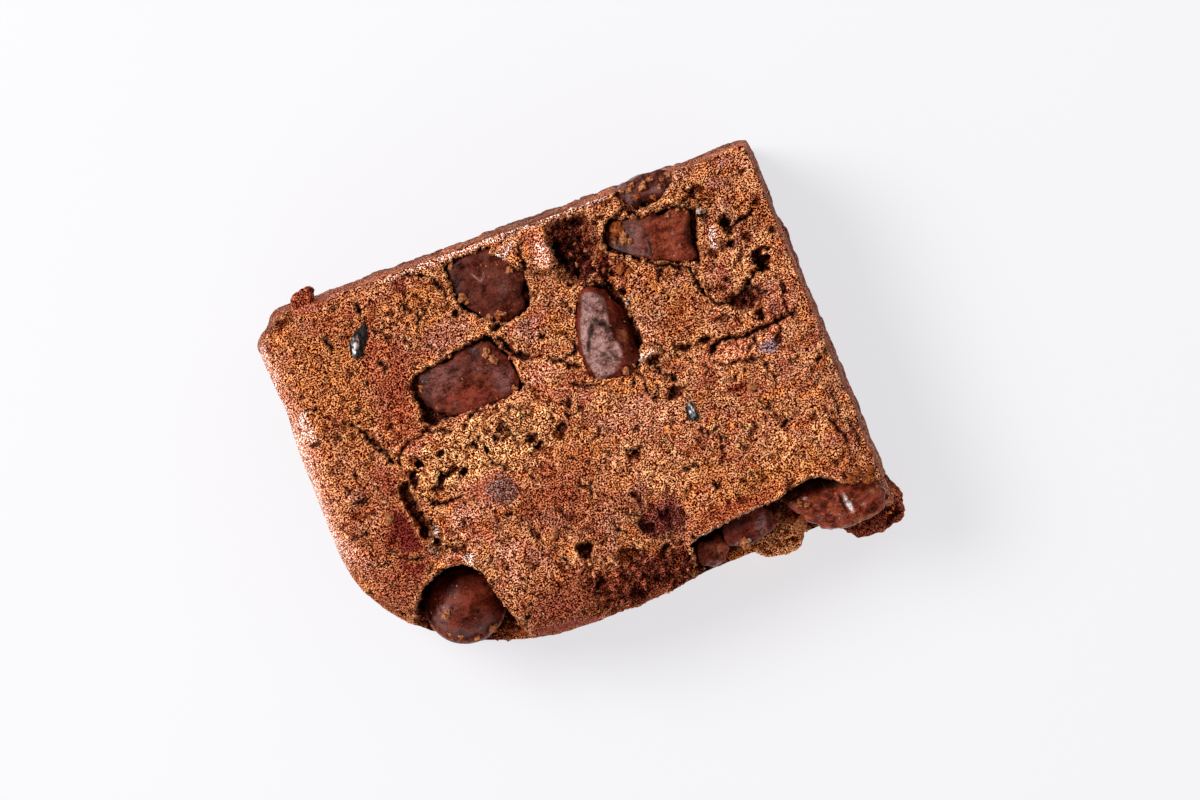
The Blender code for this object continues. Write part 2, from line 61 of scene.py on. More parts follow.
# The form of the solids, in millimetres
WEST, EAST, SOUTH, NORTH = -37.9, 35.0, -27.1, 27.3
PLATE_TOP = 22.6
NORTH_SLANT = (0.027, 5.0, 20.0)
EAST_SLANT = (0.018, 15.0, 20.0)
SOUTH_STEP = (0.0, 10.0, 1.0)
WEST_DENT = (16.0, 4.0, 0.5)
SIDE_REACH = ((-15.0, 10.0), (-30.0, 6.0))
SOUTHWEST_CORNER = ((-8.0, -5.0), (29.9, 22.1))
NORTHWEST_CORNER = ((-32.4, 23.6), (5.5, 3.7))
WEST_ROLL = (4.8, 7.0)
SOUTH_ROLL = (8.5, 9.0)
SWELL_RISE = 1.1
SWELL_SLOPES = (2.4, 2.5, 6.0)
SWELL_ENDS = (-27.0, 36.5)
LEDGE = ((-26.0, 2.0), (-24.0, 5.0), (-17.0, 5.2), (-8.0, 6.2), (0.0, 5.0), (8.0, 3.0), (20.0, 1.8),
         (34.0, 2.3))
UNEVENNESS = ((13.0, 0.55), (5.0, 0.35), (2.6, 0.22))
CUT_FROM = (23.5, 31.5)
CUT_BLEND = 3.0
CUT_FLARE = 1.15
FLARE_RATE = 2.2
BAKED_BULGE = 0.25
BAKED_LEAN = 0.6
FOOT_TUCK = 0.8
FOOT_FROM = 0.9
WALL_ROUGHNESS = 0.3

# The worn northwest corner: place, depth, and the square of its width
WORN_CORNER = ((-36.8, 27.8), 0.9, 6)

# Noise in layers, each with a wavelength and an amount: the floors of the hollows, the way their edges and
# the cracks wander, and the raggedness of the cut edges, which starts so far in and grows over so much
FLOOR_LAYERS = ((1.3, 0.45), (0.55, 0.2))
WANDER_LAYERS = ((1.6, 1.0), (0.6, 1.1))
RAGGED_LAYERS = ((5.0, 0.22), (1.3, 0.1), (0.5, 0.08))
RAGGED_FROM, RAGGED_RUN = 3, 2

# Small cracks: length of each step, number of steps, how far they bend, width and depth
CRACK_STEP = (0.4, 0.9)
CRACK_STEPS = (2, 4)
CRACK_BEND = 0.8
CRACK_WIDTH = (0.26, 0.42)
CRACK_DEPTH = (0.3, 0.7)

# Small pits: the two radii and the depth
PIT_RADII = ((0.12, 0.3), (0.1, 0.22))
SMALL_PIT_DEPTH = 0.5

# How high the lip of a hollow stands, and how much of the sides' texture the baked ones have
HOLLOW_LIP = 0.15
BAKED_TEXTURE = 0.35

# The part of the crust with most detail, along X and along Y
DETAIL_X = (-27.0, 32.0)
DETAIL_Y = (-5.0, 26.8)

# The crust north of this reaches over the chunk at the edge
NORTH_RIM = 27.2

# Hollows: outline, and depth below the crust
HOLLOWS = {
    "round_north_chunk": (
        ((0.3, 20.5), (-0.4, 22.1), (-2.2, 22.8), (-3.9, 23.9), (-3.2, 25.2), (-2.8, 26.4), (-6.5, 26.7),
         (-9.8, 26.2), (-10.1, 23.0), (-9.9, 20.2), (-8.0, 17.6), (-5.6, 16.0), (-2.2, 15.8),
         (-0.2, 17.4)), 2.2),
    "round_west_chunk": (
        ((-5.5, 8.4), (-5.9, 11.2), (-7.4, 14.8), (-10.8, 15.2), (-14.6, 14.4), (-18.2, 14.0), (-20.2, 12.8),
         (-20.4, 9.6), (-20.0, 6.4), (-15.5, 6.1), (-10.0, 6.0), (-6.2, 6.3)), 2.4),
    "round_middle_chunk": (
        ((12.3, 8.4), (11.6, 11.0), (11.6, 13.4), (9.9, 15.9), (7.0, 16.3), (5.2, 14.8), (4.1, 11.8),
         (3.3, 8.0), (3.3, 5.0), (5.2, 3.5), (8.6, 3.0), (11.0, 4.6)), 3.2),
    "round_northeast_chunk": (
        ((25.2, 20.4), (23.0, 22.2), (18.6, 22.7), (15.9, 23.3), (13.6, 24.0), (11.6, 21.9), (12.2, 19.2),
         (15.2, 17.1), (18.6, 15.4), (21.6, 14.1), (23.1, 13.7), (24.3, 17.2)), 2.2),
    "round_edge_chunk": (
        ((24.4, 26.8), (22.6, 27.3), (19.0, 27.4), (15.6, 27.1), (15.4, 26.4), (16.6, 24.6), (18.0, 23.4),
         (20.4, 23.3), (22.6, 24.6)), 2.2),
    "crater": (
        ((10.2, 22.6), (10.5, 25.2), (8.6, 26.1), (6.2, 25.6), (5.2, 23.4), (5.3, 20.4), (6.6, 17.9),
         (8.6, 18.0), (9.4, 20.2)), 1.9),
    "square_hole": (((-4.8, -17.0), (-5.6, -16.2), (-6.8, -16.4), (-6.8, -17.9), (-5.8, -18.4)), 2.2),
    "slanting_hole": (((29.2, 16.9), (28.4, 18.7), (27.7, 18.4), (27.9, 16.2), (28.7, 15.7)), 2.0),
    "east_hole": (((32.1, 10.8), (31.4, 12.2), (30.0, 12.3), (29.9, 10.6), (31.0, 9.1)), 1.7),
    "crumb_pit": (((29.0, 6.8), (27.9, 8.3), (25.9, 8.1), (24.9, 7.1), (25.9, 5.5), (28.0, 5.2)), 1.3),
    "narrow_hole": (((28.8, 3.9), (28.1, 4.9), (27.5, 3.9), (28.1, 2.9)), 2.0),
    "hole_between_chunks": (((-5.0, 15.4), (-6.1, 16.4), (-7.5, 16.0), (-6.8, 14.9)), 1.8),
    "first_ledge_hole": (((13.3, 3.6), (12.3, 4.4), (11.1, 3.8), (12.3, 2.9)), 1.6),
    "second_ledge_hole": (((18.0, 3.6), (16.9, 4.1), (15.9, 3.6), (16.9, 3.0)), 1.6),
    "third_ledge_hole": (((20.7, 3.6), (19.7, 4.1), (18.7, 3.6), (19.7, 3.0)), 1.6),
    "swell_hole": (((14.8, -1.6), (13.6, -1.0), (12.0, -2.1), (13.4, -2.5)), 1.2),
    "west_gap": (
        ((-25.0, -3.0), (-25.3, 0.5), (-26.4, 0.4), (-26.8, -2.4), (-26.5, -5.4), (-25.6, -8.6),
         (-24.7, -6.0)), 2.6),
}

# Hollows whose walls slope gently: how many times wider the walls are
SOFT_HOLLOWS = {"crater": 5.0, "crumb_pit": 2.5, "west_gap": 2.0}

# Cracks: points, width at the crust and depth
CRACKS = {
    "plate_crack": (
        ((16.4, 16.2), (17.3, 15.5), (19.2, 14.9), (20.4, 14.4), (21.5, 13.0), (21.9, 11.6),
         (21.8, 9.6), (22.7, 8.2), (24.2, 7.2), (25.4, 6.6)), 0.55, 1.4),
    "plate_corner_crack": (((27.6, 8.4), (28.9, 9.1), (30.4, 10.2)), 0.5, 1.1),
    "ledge_crack": (
        ((19.8, 1.2), (20.5, 2.3), (22.2, 2.8), (24.4, 2.2), (27.0, 2.1), (29.8, 2.5),
         (33.0, 2.7)), 0.7, 1.6),
    "west_crack": (
        ((-29.7, 10.7), (-28.2, 8.7), (-27.5, 6.8), (-26.5, 5.0), (-26.0, 3.2)), 0.6, 1.4),
    "middle_crack": (((-6.6, 14.6), (-6.0, 13.0), (-5.2, 11.2), (-3.4, 10.4)), 0.7, 1.5),
    "north_crack": (((-12.0, 25.2), (-11.3, 23.6), (-10.8, 22.0)), 0.5, 1.1),
    "fold_crack": (((-0.8, 8.9), (0.9, 7.6), (2.6, 6.1)), 0.5, 1.0),
    "east_crack": (((29.4, 16.7), (31.0, 17.3), (32.8, 17.8)), 0.45, 1.0),
    "swell_crack": (((-23.0, -3.9), (-21.0, -4.3), (-18.7, -4.1)), 0.5, 1.0),
    "south_crack": (((31.6, -12.6), (32.4, -14.8), (33.2, -17.2)), 0.5, 1.0),
}

# Hairline cracks that only the finish has: points, width and depth
HAIRLINES = (
    (((28.2, 8.6), (28.9, 7.8), (29.2, 6.4), (28.9, 5.0), (28.3, 4.4)), 0.4, 0.8),
    (((32.6, 7.8), (32.3, 6.2), (31.8, 4.4), (31.9, 2.8)), 0.3, 0.5),
    (((19.6, 0.6), (21.4, -0.6), (22.8, -0.8), (24.6, -1.4), (27.2, -1.7)), 0.35, 0.6),
    (((30.0, 1.8), (29.7, 0.4), (29.0, -1.0)), 0.25, 0.4),
    (((9.8, 2.9), (10.2, 1.4), (9.7, -0.2)), 0.35, 0.6),
    (((12.2, 3.0), (12.6, 1.6), (13.5, 0.6), (13.8, -0.4)), 0.4, 0.6),
    (((-25.6, 2.4), (-24.8, 4.2), (-23.6, 5.2), (-22.0, 5.7), (-20.2, 5.9), (-19.2, 5.3)), 0.45, 0.9),
    (((-18.4, 5.5), (-17.6, 4.6), (-16.8, 3.8)), 0.4, 0.7),
    (((-14.4, 5.5), (-13.0, 5.9), (-11.6, 5.6)), 0.5, 0.9),
    (((-8.6, 5.2), (-7.6, 4.0), (-6.8, 2.6)), 0.3, 0.6),
    (((-10.4, 2.8), (-9.4, 1.4), (-9.2, -0.6)), 0.35, 0.7),
    (((-13.4, -1.0), (-12.4, -2.2), (-11.8, -3.4)), 0.35, 0.7),
    (((-8.4, -1.6), (-7.6, -2.8), (-7.4, -4.0)), 0.35, 0.6),
    (((0.4, 4.8), (1.8, 4.2), (3.4, 3.4), (5.2, 2.8)), 0.35, 0.6),
    (((-5.2, 10.6), (-3.4, 10.0), (-1.6, 9.8)), 0.35, 0.7),
    (((2.2, 11.4), (2.9, 9.6), (3.0, 8.2)), 0.35, 0.5),
    (((3.6, 15.6), (4.2, 14.6), (4.3, 13.4)), 0.35, 0.6),
    (((-0.6, 20.0), (0.4, 21.8), (0.2, 23.6), (1.2, 25.2)), 0.4, 0.8),
    (((-15.2, 27.0), (-13.6, 26.4), (-12.4, 25.4)), 0.3, 0.5),
    (((-28.9, 22.8), (-28.5, 21.6), (-28.1, 20.8)), 0.6, 0.8),
    (((-9.5, 21.2), (-8.7, 19.6), (-7.4, 18.2)), 0.9, 1.6),
    (((-10.1, 25.9), (-9.2, 25.0), (-8.5, 24.6)), 0.6, 1.0),
    (((24.4, 20.3), (25.6, 19.4), (26.8, 19.5)), 0.4, 0.7),
    (((15.0, 23.8), (16.2, 24.4), (17.4, 23.2)), 0.4, 0.8),
    (((13.4, 22.2), (14.0, 23.4), (15.0, 23.8)), 0.5, 0.9),
    (((-6.3, -18.3), (-6.7, -19.6), (-6.4, -20.4)), 0.35, 0.5),
    (((-22.8, 17.2), (-22.4, 16.4), (-22.5, 15.5)), 0.6, 0.8),
    (((-36.0, 9.8), (-34.9, 9.7), (-34.4, 9.2)), 0.35, 0.4),
    (((-36.8, -0.9), (-36.0, -2.4), (-35.0, -4.2), (-33.4, -4.3)), 0.4, 0.5),
    (((23.0, -7.6), (24.8, -8.6), (25.4, -10.2)), 0.35, 0.6),
    (((4.0, -6.4), (5.6, -7.2), (6.4, -6.6)), 0.3, 0.4),
    (((14.4, -7.6), (16.2, -8.4), (17.2, -8.2)), 0.3, 0.4),
    (((26.2, -2.2), (26.6, -4.2), (27.0, -5.6)), 0.3, 0.5),
    (((10.6, -11.6), (11.4, -12.2), (12.6, -12.0)), 0.4, 0.5),
    (((18.6, -10.8), (19.2, -11.8), (19.6, -12.6)), 0.4, 0.5),
    (((33.9, -13.6), (34.2, -15.4), (34.4, -17.8)), 0.35, 0.6),
    (((33.0, -9.0), (33.4, -11.0), (33.2, -12.6)), 0.3, 0.4),
)

# Pits in the crust: middle, radii, turn in degrees and depth
PITS = (
    ((-24.2, 0.4), (0.45, 1.4), -12, 1.2), ((-20.9, -0.9), (0.9, 0.6), 30, 1.0),
    ((-21.2, -2.0), (0.4, 0.7), 0, 0.8), ((-17.3, -1.0), (0.7, 0.35), 20, 0.8),
    ((-14.8, 1.5), (0.6, 0.4), -30, 0.9), ((-13.7, 0.5), (0.35, 0.6), 0, 0.8),
    ((-11.7, 1.5), (0.45, 0.35), 20, 0.9), ((-10.1, 1.0), (0.5, 0.3), 40, 0.7),
    ((-6.9, 0.0), (0.6, 0.7), 0, 1.3), ((-6.6, -1.4), (0.5, 0.45), 0, 0.9),
    ((-15.1, 4.3), (0.5, 0.35), 0, 0.9), ((-22.8, 1.9), (0.6, 0.3), 35, 0.8),
    ((-19.4, 2.2), (0.4, 0.3), 0, 0.7), ((-2.7, -0.2), (0.7, 0.45), -60, 1.0),
    ((-0.6, 2.2), (0.5, 0.8), -30, 0.8), ((-29.4, 1.1), (0.35, 0.4), 0, 0.8),
    ((-33.1, 0.3), (0.5, 0.3), 20, 0.6), ((-0.8, 12.0), (0.5, 0.4), 0, 1.0),
    ((-10.7, 19.5), (0.4, 0.55), 0, 1.1), ((-24.6, -8.9), (0.7, 0.45), 20, 1.0),
    ((-22.4, -10.8), (0.9, 0.4), -10, 0.9), ((-13.8, -8.6), (0.6, 0.5), 0, 0.7),
    ((13.9, 0.1), (0.35, 0.6), 20, 0.9), ((34.0, 14.2), (0.5, 0.5), 0, 0.9),
    ((25.8, -11.0), (0.8, 0.5), 30, 0.9), ((-16.6, -15.8), (0.4, 0.25), 0, 0.6),
    ((-32.0, 12.4), (0.4, 0.4), 0, 0.5), ((32.3, 12.2), (0.5, 0.4), 0, 1.0),
    ((5.6, -13.2), (0.5, 0.3), 30, 0.6), ((14.0, -15.8), (0.4, 0.35), 0, 0.6),
    ((-26.2, 26.2), (0.5, 0.25), 10, 0.5), ((28.0, 14.4), (0.35, 0.8), 10, 1.0),
    ((26.4, 1.0), (0.3, 0.3), 0, 0.5),
)

# Places where the crust is torn or crumbly: outline, how far they sink, and how porous they are
TORN = {
    "middle": (
        ((5.2, 26.0), (9.4, 25.9), (10.0, 22.8), (12.0, 21.4), (13.0, 19.0), (14.6, 18.0),
         (14.4, 17.0), (12.9, 16.0), (12.2, 13.2), (10.6, 14.6), (7.4, 16.8), (4.8, 17.8),
         (4.8, 22.0)), 0.7, 1.0),
    "south_roll": (
        ((-8.4, -20.4), (-4.0, -19.4), (2.0, -20.2), (7.6, -21.4), (8.8, -26.8), (-2.0, -28.4),
         (-8.0, -27.6), (-7.2, -24.0)), 0.5, 1.0),
    "northwest_corner": (
        ((-35.4, 25.0), (-34.2, 24.9), (-32.4, 26.4), (-31.0, 28.2), (-33.0, 29.6),
         (-36.0, 27.6)), 0.5, 0.9),
    "tan_patch": (
        ((-25.2, 3.4), (-20.0, 4.9), (-12.0, 5.2), (-5.0, 4.6), (-2.4, 1.8), (-4.6, -3.4),
         (-9.6, -4.4), (-12.0, -1.4), (-17.6, -2.0), (-24.6, -3.2)), 0.0, 0.5),
    "white_crumbs": (
        ((-25.4, -5.8), (-22.8, -5.8), (-20.2, -8.2), (-20.8, -12.4), (-25.4, -12.4),
         (-26.0, -9.0)), 0.4, 0.9),
    "maroon": (
        ((1.8, -15.6), (5.0, -13.8), (8.6, -15.4), (9.2, -18.4), (6.8, -20.4), (2.6, -19.6)), 0.35, 0.5),
    "edge_rim": (((14.4, 27.0), (13.0, 24.4), (11.0, 25.4), (10.4, 28.0)), 0.0, 0.6),
    "below_pit": (((30.0, 12.8), (32.6, 12.4), (31.8, 9.2), (30.0, 8.8)), 0.3, 0.8),
}

# Where the crust has broken away, over the south edge and over the southwest drop: outlines, and then the
# height of each floor and how its edge is made
SOUTH_BREAK = ((7.6, -23.6), (8.2, -21.5), (12.0, -20.9), (16.2, -20.5), (20.6, -20.3), (23.2, -19.7),
               (26.2, -19.2), (28.6, -20.1), (30.4, -21.7), (33.4, -22.8), (37.6, -23.8), (39.0, -31.0),
               (24.0, -32.0), (8.0, -31.0))
WEST_BREAK = ((-31.4, -17.0), (-30.3, -14.8), (-27.6, -12.9), (-24.2, -12.2), (-21.3, -13.0),
              (-19.9, -15.2), (-19.1, -18.6), (-17.7, -23.0), (-17.2, -28.0), (-25.0, -29.0),
              (-33.0, -24.0), (-32.6, -19.4))
BREAKS = (
    (SOUTH_BREAK, 16.0, {"lip": 0.3, "inset": 0.2, "stir": 0.4}),
    (WEST_BREAK, 12.6, {"lip": 0.25, "inset": 0.6, "stir": 0.5}),
)
# How much of each outline is a rim that crumbs lie along
SOUTH_RIM_POINTS, WEST_RIM_POINTS = 9, 8

# Lumps of crumb that stand out of the sides: outline, height of the top, thickness, and slope of the top
LUMPS = {
    "corner_lump": (
        ((37.9, -26.6), (36.8, -24.2), (34.4, -22.6), (30.4, -23.4), (28.4, -27.0), (30.0, -29.7),
         (33.2, -30.1), (36.4, -29.4)), 8.8, 8.3, (-0.05, 0.12)),
    "south_lump": (
        ((23.1, -25.6), (21.4, -23.4), (17.6, -23.4), (16.0, -25.6), (17.6, -27.7), (20.4, -28.0),
         (22.4, -27.2)), 14.6, 9.0, (-0.06, 0.15)),
    "northwest_lump": (
        ((-27.9, 29.0), (-28.0, 30.2), (-29.6, 30.3), (-31.4, 29.2), (-31.0, 27.4), (-28.6, 27.2)),
        21.4, 4.0, (0.0, 0.0)),
}

# Raised flakes of crust: outline and rise
CRUST_FLAKES = {
    "flake_by_north_chunk": (
        ((4.9, 23.6), (4.4, 26.2), (1.4, 26.6), (-1.4, 25.9), (-3.6, 23.9), (-1.6, 22.9), (0.9, 21.2),
         (3.4, 20.4)), 0.7),
    "flake_by_northeast_chunk": (
        ((25.6, 21.0), (24.4, 23.4), (21.6, 23.3), (18.4, 24.6), (17.4, 23.8), (20.2, 23.0),
         (23.2, 22.6)), 0.6),
    "flake_by_middle_chunk": (((13.6, 4.3), (12.6, 5.6), (11.4, 5.9), (10.4, 4.6), (11.6, 4.2)), 0.6),
}

# Dark bits that lie on the crust: outline and rise
DARK_FLAKES = {
    "dark_flake": (
        ((-22.8, 22.8), (-23.8, 22.4), (-24.8, 22.0), (-25.7, 21.0), (-26.1, 19.5),
         (-25.6, 18.6), (-24.6, 18.8), (-23.9, 20.0), (-22.9, 21.3)), 0.3),
    "glint_flake": (
        ((15.1, -4.7), (14.8, -3.5), (13.9, -3.9), (13.6, -5.5), (14.3, -6.2), (15.1, -5.9)), 0.35),
}
# The pale streaks on them: painted glints and painted sheen
FLAKE_GLINTS = (
    ((-25.3, 20.2), (0.3, 1.4), -20, "glint", 1.0),
    ((-24.6, 20.7), (0.22, 1.2), -20, "sheen", 0.9),
    ((14.5, -4.8), (0.35, 1.1), 0, "glint", 1.0),
)

# Chocolate pieces: outline, height of the top, thickness, and slope of the top along X and Y
CHUNKS = {
    "chunk_north": (
        ((-0.5, 20.6), (-1.4, 23.4), (-3.6, 25.6), (-6.4, 26.0), (-8.9, 25.0), (-9.5, 22.4), (-8.9, 19.9),
         (-7.0, 17.7), (-4.4, 16.6), (-2.0, 17.2)), 22.0, 6.4, (0.0, 0.01)),
    "chunk_west": (
        ((-6.3, 8.4), (-6.9, 11.0), (-8.3, 13.9), (-11.4, 14.2), (-15.0, 13.6), (-18.0, 13.2), (-18.7, 10.6),
         (-18.3, 7.9), (-14.8, 6.9), (-10.6, 6.8), (-7.2, 6.9)), 22.3, 7.0, (0.02, -0.03)),
    "chunk_middle": (
        ((11.1, 8.2), (10.9, 11.4), (9.4, 14.3), (7.4, 15.5), (6.2, 15.1), (4.7, 12.2), (3.9, 8.6),
         (3.8, 5.4), (4.9, 4.2), (8.6, 3.9), (10.5, 5.4)), 23.7, 9.0, (0.10, 0.0)),
    "chunk_northeast": (
        ((24.0, 19.9), (22.6, 21.5), (18.6, 21.9), (15.2, 22.6), (13.2, 21.9), (12.9, 20.2), (15.6, 18.0),
         (18.6, 16.4), (21.2, 15.1), (22.5, 15.2), (23.4, 17.4)), 22.4, 6.0, (-0.02, 0.02)),
    "chunk_edge": (
        ((23.9, 26.4), (22.4, 27.6), (19.8, 27.9), (17.0, 27.7), (16.1, 26.4), (17.3, 24.7), (19.2, 24.1),
         (22.2, 24.9)), 21.9, 5.6, (0.0, -0.03)),
    "chunk_south_small": (
        ((12.0, -24.4), (11.5, -22.7), (9.9, -22.2), (8.7, -23.2), (8.4, -25.2), (9.6, -26.0), (11.4, -25.9)),
        18.6, 4.8, (0.05, 0.12)),
    "chunk_south": (
        ((19.2, -22.0), (17.8, -20.9), (15.0, -20.6), (13.1, -21.7), (13.0, -23.6), (14.6, -24.7),
         (17.2, -24.5), (18.8, -23.6)), 20.0, 5.4, (-0.10, 0.16)),
    "chunk_southeast": (
        ((35.1, -24.6), (34.0, -22.7), (30.4, -21.6), (27.4, -20.4), (24.4, -20.2), (22.6, -21.2),
         (23.9, -23.8), (25.4, -26.4), (28.2, -27.6), (31.8, -27.7), (34.3, -26.8)),
        20.6, 8.0, (-0.04, 0.16)),
}
# Roughness of the lumps, the drop, the flakes and the chunks: wavelength and amount of each layer of noise
LUMP_LAYERS = ((3.0, 0.5), (1.3, 0.3), (0.6, 0.14))
DROP_LAYERS = ((2.2, 0.06), (0.6, 0.02))
FLAKE_LAYERS = ((0.9, 0.12), (0.4, 0.08))
CHUNK_FORM = (4.0, 0.3)
CHUNK_LAYERS = ((1.6, 0.12), (0.6, 0.05))
# How straight a chunk's outline is, and how full its slab is
CHUNK_STRAIGHT, CHUNK_FULL = 0.85, 1.0
# Facets that cut a chunk: direction in plan, and height and fall past a distance along it
CHUNK_FACETS = {
    "chunk_middle": ((1.0, 0.05), 9.0, 23.6, 1.35),
    "chunk_southeast": ((0.1, 1.0), -19.2, 20.6, 0.8),
    "chunk_northeast": ((-0.9, 0.44), -6.6, 22.5, 0.35),
}
# Broken faces of a chunk with another colour: outline, colour and strength. The face of chunk_middle that
# tilts to the light gets painted sheen, and the face of chunk_southeast under the crust's arch gets painted
# shade
CHUNK_FACES = {
    "chunk_middle": (
        (((4.0, 5.0), (3.6, 7.5), (4.2, 10.5), (5.3, 13.0), (6.3, 15.3), (7.3, 15.5), (8.6, 14.6),
          (9.0, 13.4), (8.5, 11.0), (8.2, 9.0), (8.7, 7.0), (8.3, 5.6), (6.5, 4.0), (4.2, 3.8)),
         "pale_sheen", 0.95),),
    "chunk_southeast": (
        # Painted shade on the face under the crust's arch
        (((21.4, -19.2), (28.0, -18.6), (31.6, -22.0), (28.6, -21.7), (25.4, -20.6), (22.6, -21.8)),
         "shaded_olive", 0.9),
        (((31.4, -22.0), (34.8, -22.8), (35.2, -26.0), (32.0, -27.0), (30.4, -25.2)), "red", 0.5)),
    "chunk_northeast": (
        (((12.4, 19.6), (13.4, 22.4), (16.4, 22.4), (17.6, 20.2), (17.4, 16.8)), "northwest_face", 0.8),),
    "chunk_west": (
        (((-16.8, 10.6), (-15.4, 8.4), (-12.0, 7.2), (-8.4, 7.0), (-9.4, 8.2), (-13.0, 9.9)), "red", 0.55),),
}
# How many times rougher some chunks are
CHUNK_ROUGHNESS = {"chunk_southeast": 3.0, "chunk_south": 2.0, "chunk_south_small": 2.5, "chunk_edge": 2.0}
# Where a dark gap shows beside a chunk: direction in degrees from its middle, and half the width of the gap
CHUNK_GAPS = {
    "chunk_north": ((215, 30), (-25, 20)),
    "chunk_west": ((204, 14), (115, 18)),
    "chunk_middle": ((-15, 50), (45, 25)),
    "chunk_northeast": ((-15, 35), (60, 15)),
    "chunk_edge": ((90, 90), (250, 20)),
    "chunk_south_small": ((270, 95), (90, 30)),
    "chunk_south": ((270, 80),),
    "chunk_southeast": ((270, 110),),
}

# The drop: radius and height of each ring, from the tip down to the base, and its place and lean
DROP_RINGS = ((0.0, 4.8), (1.7, 4.6), (3.2, 3.9), (4.4, 2.7), (4.9, 1.3), (5.0, 0.2), (5.6, -0.3),
              (5.7, -1.0), (5.2, -1.7), (0.0, -1.8))
DROP_CENTRE = (-24.2, -18.0, 15.2)
DROP_LEAN = math.radians(17.0)
BURIED_CHIP = ((-14.4, -5.0), 3.4, 0.5)

# Colours as they look on screen, red, green and blue from 0 to 255
CRUST_COLOURS = {
    "golden": (156, 89, 52),
    "amber": (156, 84, 36),
    "tan": (186, 114, 64),
    "pale": (212, 182, 158),
    "pink": (182, 116, 84),
    "mauve": (138, 84, 66),
    "red_brown": (126, 54, 30),
    "dark_red": (94, 30, 16),
    "maroon": (82, 28, 25),
    "orange": (174, 86, 34),
    # The next colour darkens the south roll: partly its redder crust and partly painted shade
    "roll": (122, 48, 26),
    # The next colour is painted shade in the hollows, cracks and pits, and under the edges of the raised
    # flakes
    "hollow": (46, 13, 8),
    "crumb": (88, 48, 33),
    "torn": (138, 80, 52),
    "lower_side": (100, 56, 38),
    "grey_mauve": (100, 72, 62),
    "slate": (104, 84, 84),
}

# How far the tones of light and dark crumb spread in red, green and blue; the dark tones include the
# painted shade in crevices, pits and holes
LIGHT_SPREAD = np.array((0.85, 0.85, 0.85))
DARK_SPREAD = np.array((0.8, 1.15, 1.4))

# What the grain does to the colour under it: place on the noise, and shares of red, green and blue
GRAIN_SCALE = 10.0
GRAIN_SHADES = (
    (0.37, (0.06, 0.003, 0.001)), (0.425, (0.29, 0.035, 0.006)), (0.465, (0.67, 0.25, 0.09)),
    (0.51, (1.14, 0.69, 0.43)), (0.555, (1.70, 1.7, 1.75)), (0.61, (2.6, 4.3, 6.4)),
)
# The middle of that noise, and how much grain the sides have
GRAIN_MIDDLE = 0.88
WALL_GRAIN = 0.45

# The crumb's texture: how far each part of it moves the surface, in millimetres, and how much it lightens
# it, and then how much more of both there is where the crust is torn. Crevices, pits and holes darken it
# instead: painted shade
TEXTURE = {
    "broad": (0.19, 0.22),
    "clump": (0.09, 0.28),
    "fine": (0.07, 0.45),
    "crevice": (-0.22, -1.1),
    "pit": (-0.22, -1.3),
    "hole": (-0.45, -1.9),
}
TORN_TEXTURE = {"broad": (0.2, 0.0), "clump": (0.25, 1.0), "fine": (0.1, 0.6)}

# What the chocolate's cloudy skin and the flakes' streaks do to the colour under them
CHOCOLATE_SHADES = (
    (0.41, (0.10, 0.06, 0.05)), (0.465, (0.33, 0.26, 0.23)), (0.51, (0.50, 0.47, 0.46)),
    (0.56, (0.82, 0.88, 0.94)),
)
FLAKE_SHADES = ((0.42, (0.06, 0.06, 0.06)), (0.5, (0.4, 0.4, 0.4)), (0.58, (1.0, 1.0, 1.0)))
BLOOM_ROUGHNESS = 0.12

# How zones are painted: the noise that stirs them, the radius from which it does so in full, and where a
# zone starts to fade and over how much of its radius
ZONE_STIR = ((2.4, 0.9), (0.8, 0.35))
FULL_STIR_RADIUS = 1.8
ZONE_CORE, ZONE_FADE = 0.45, 0.75

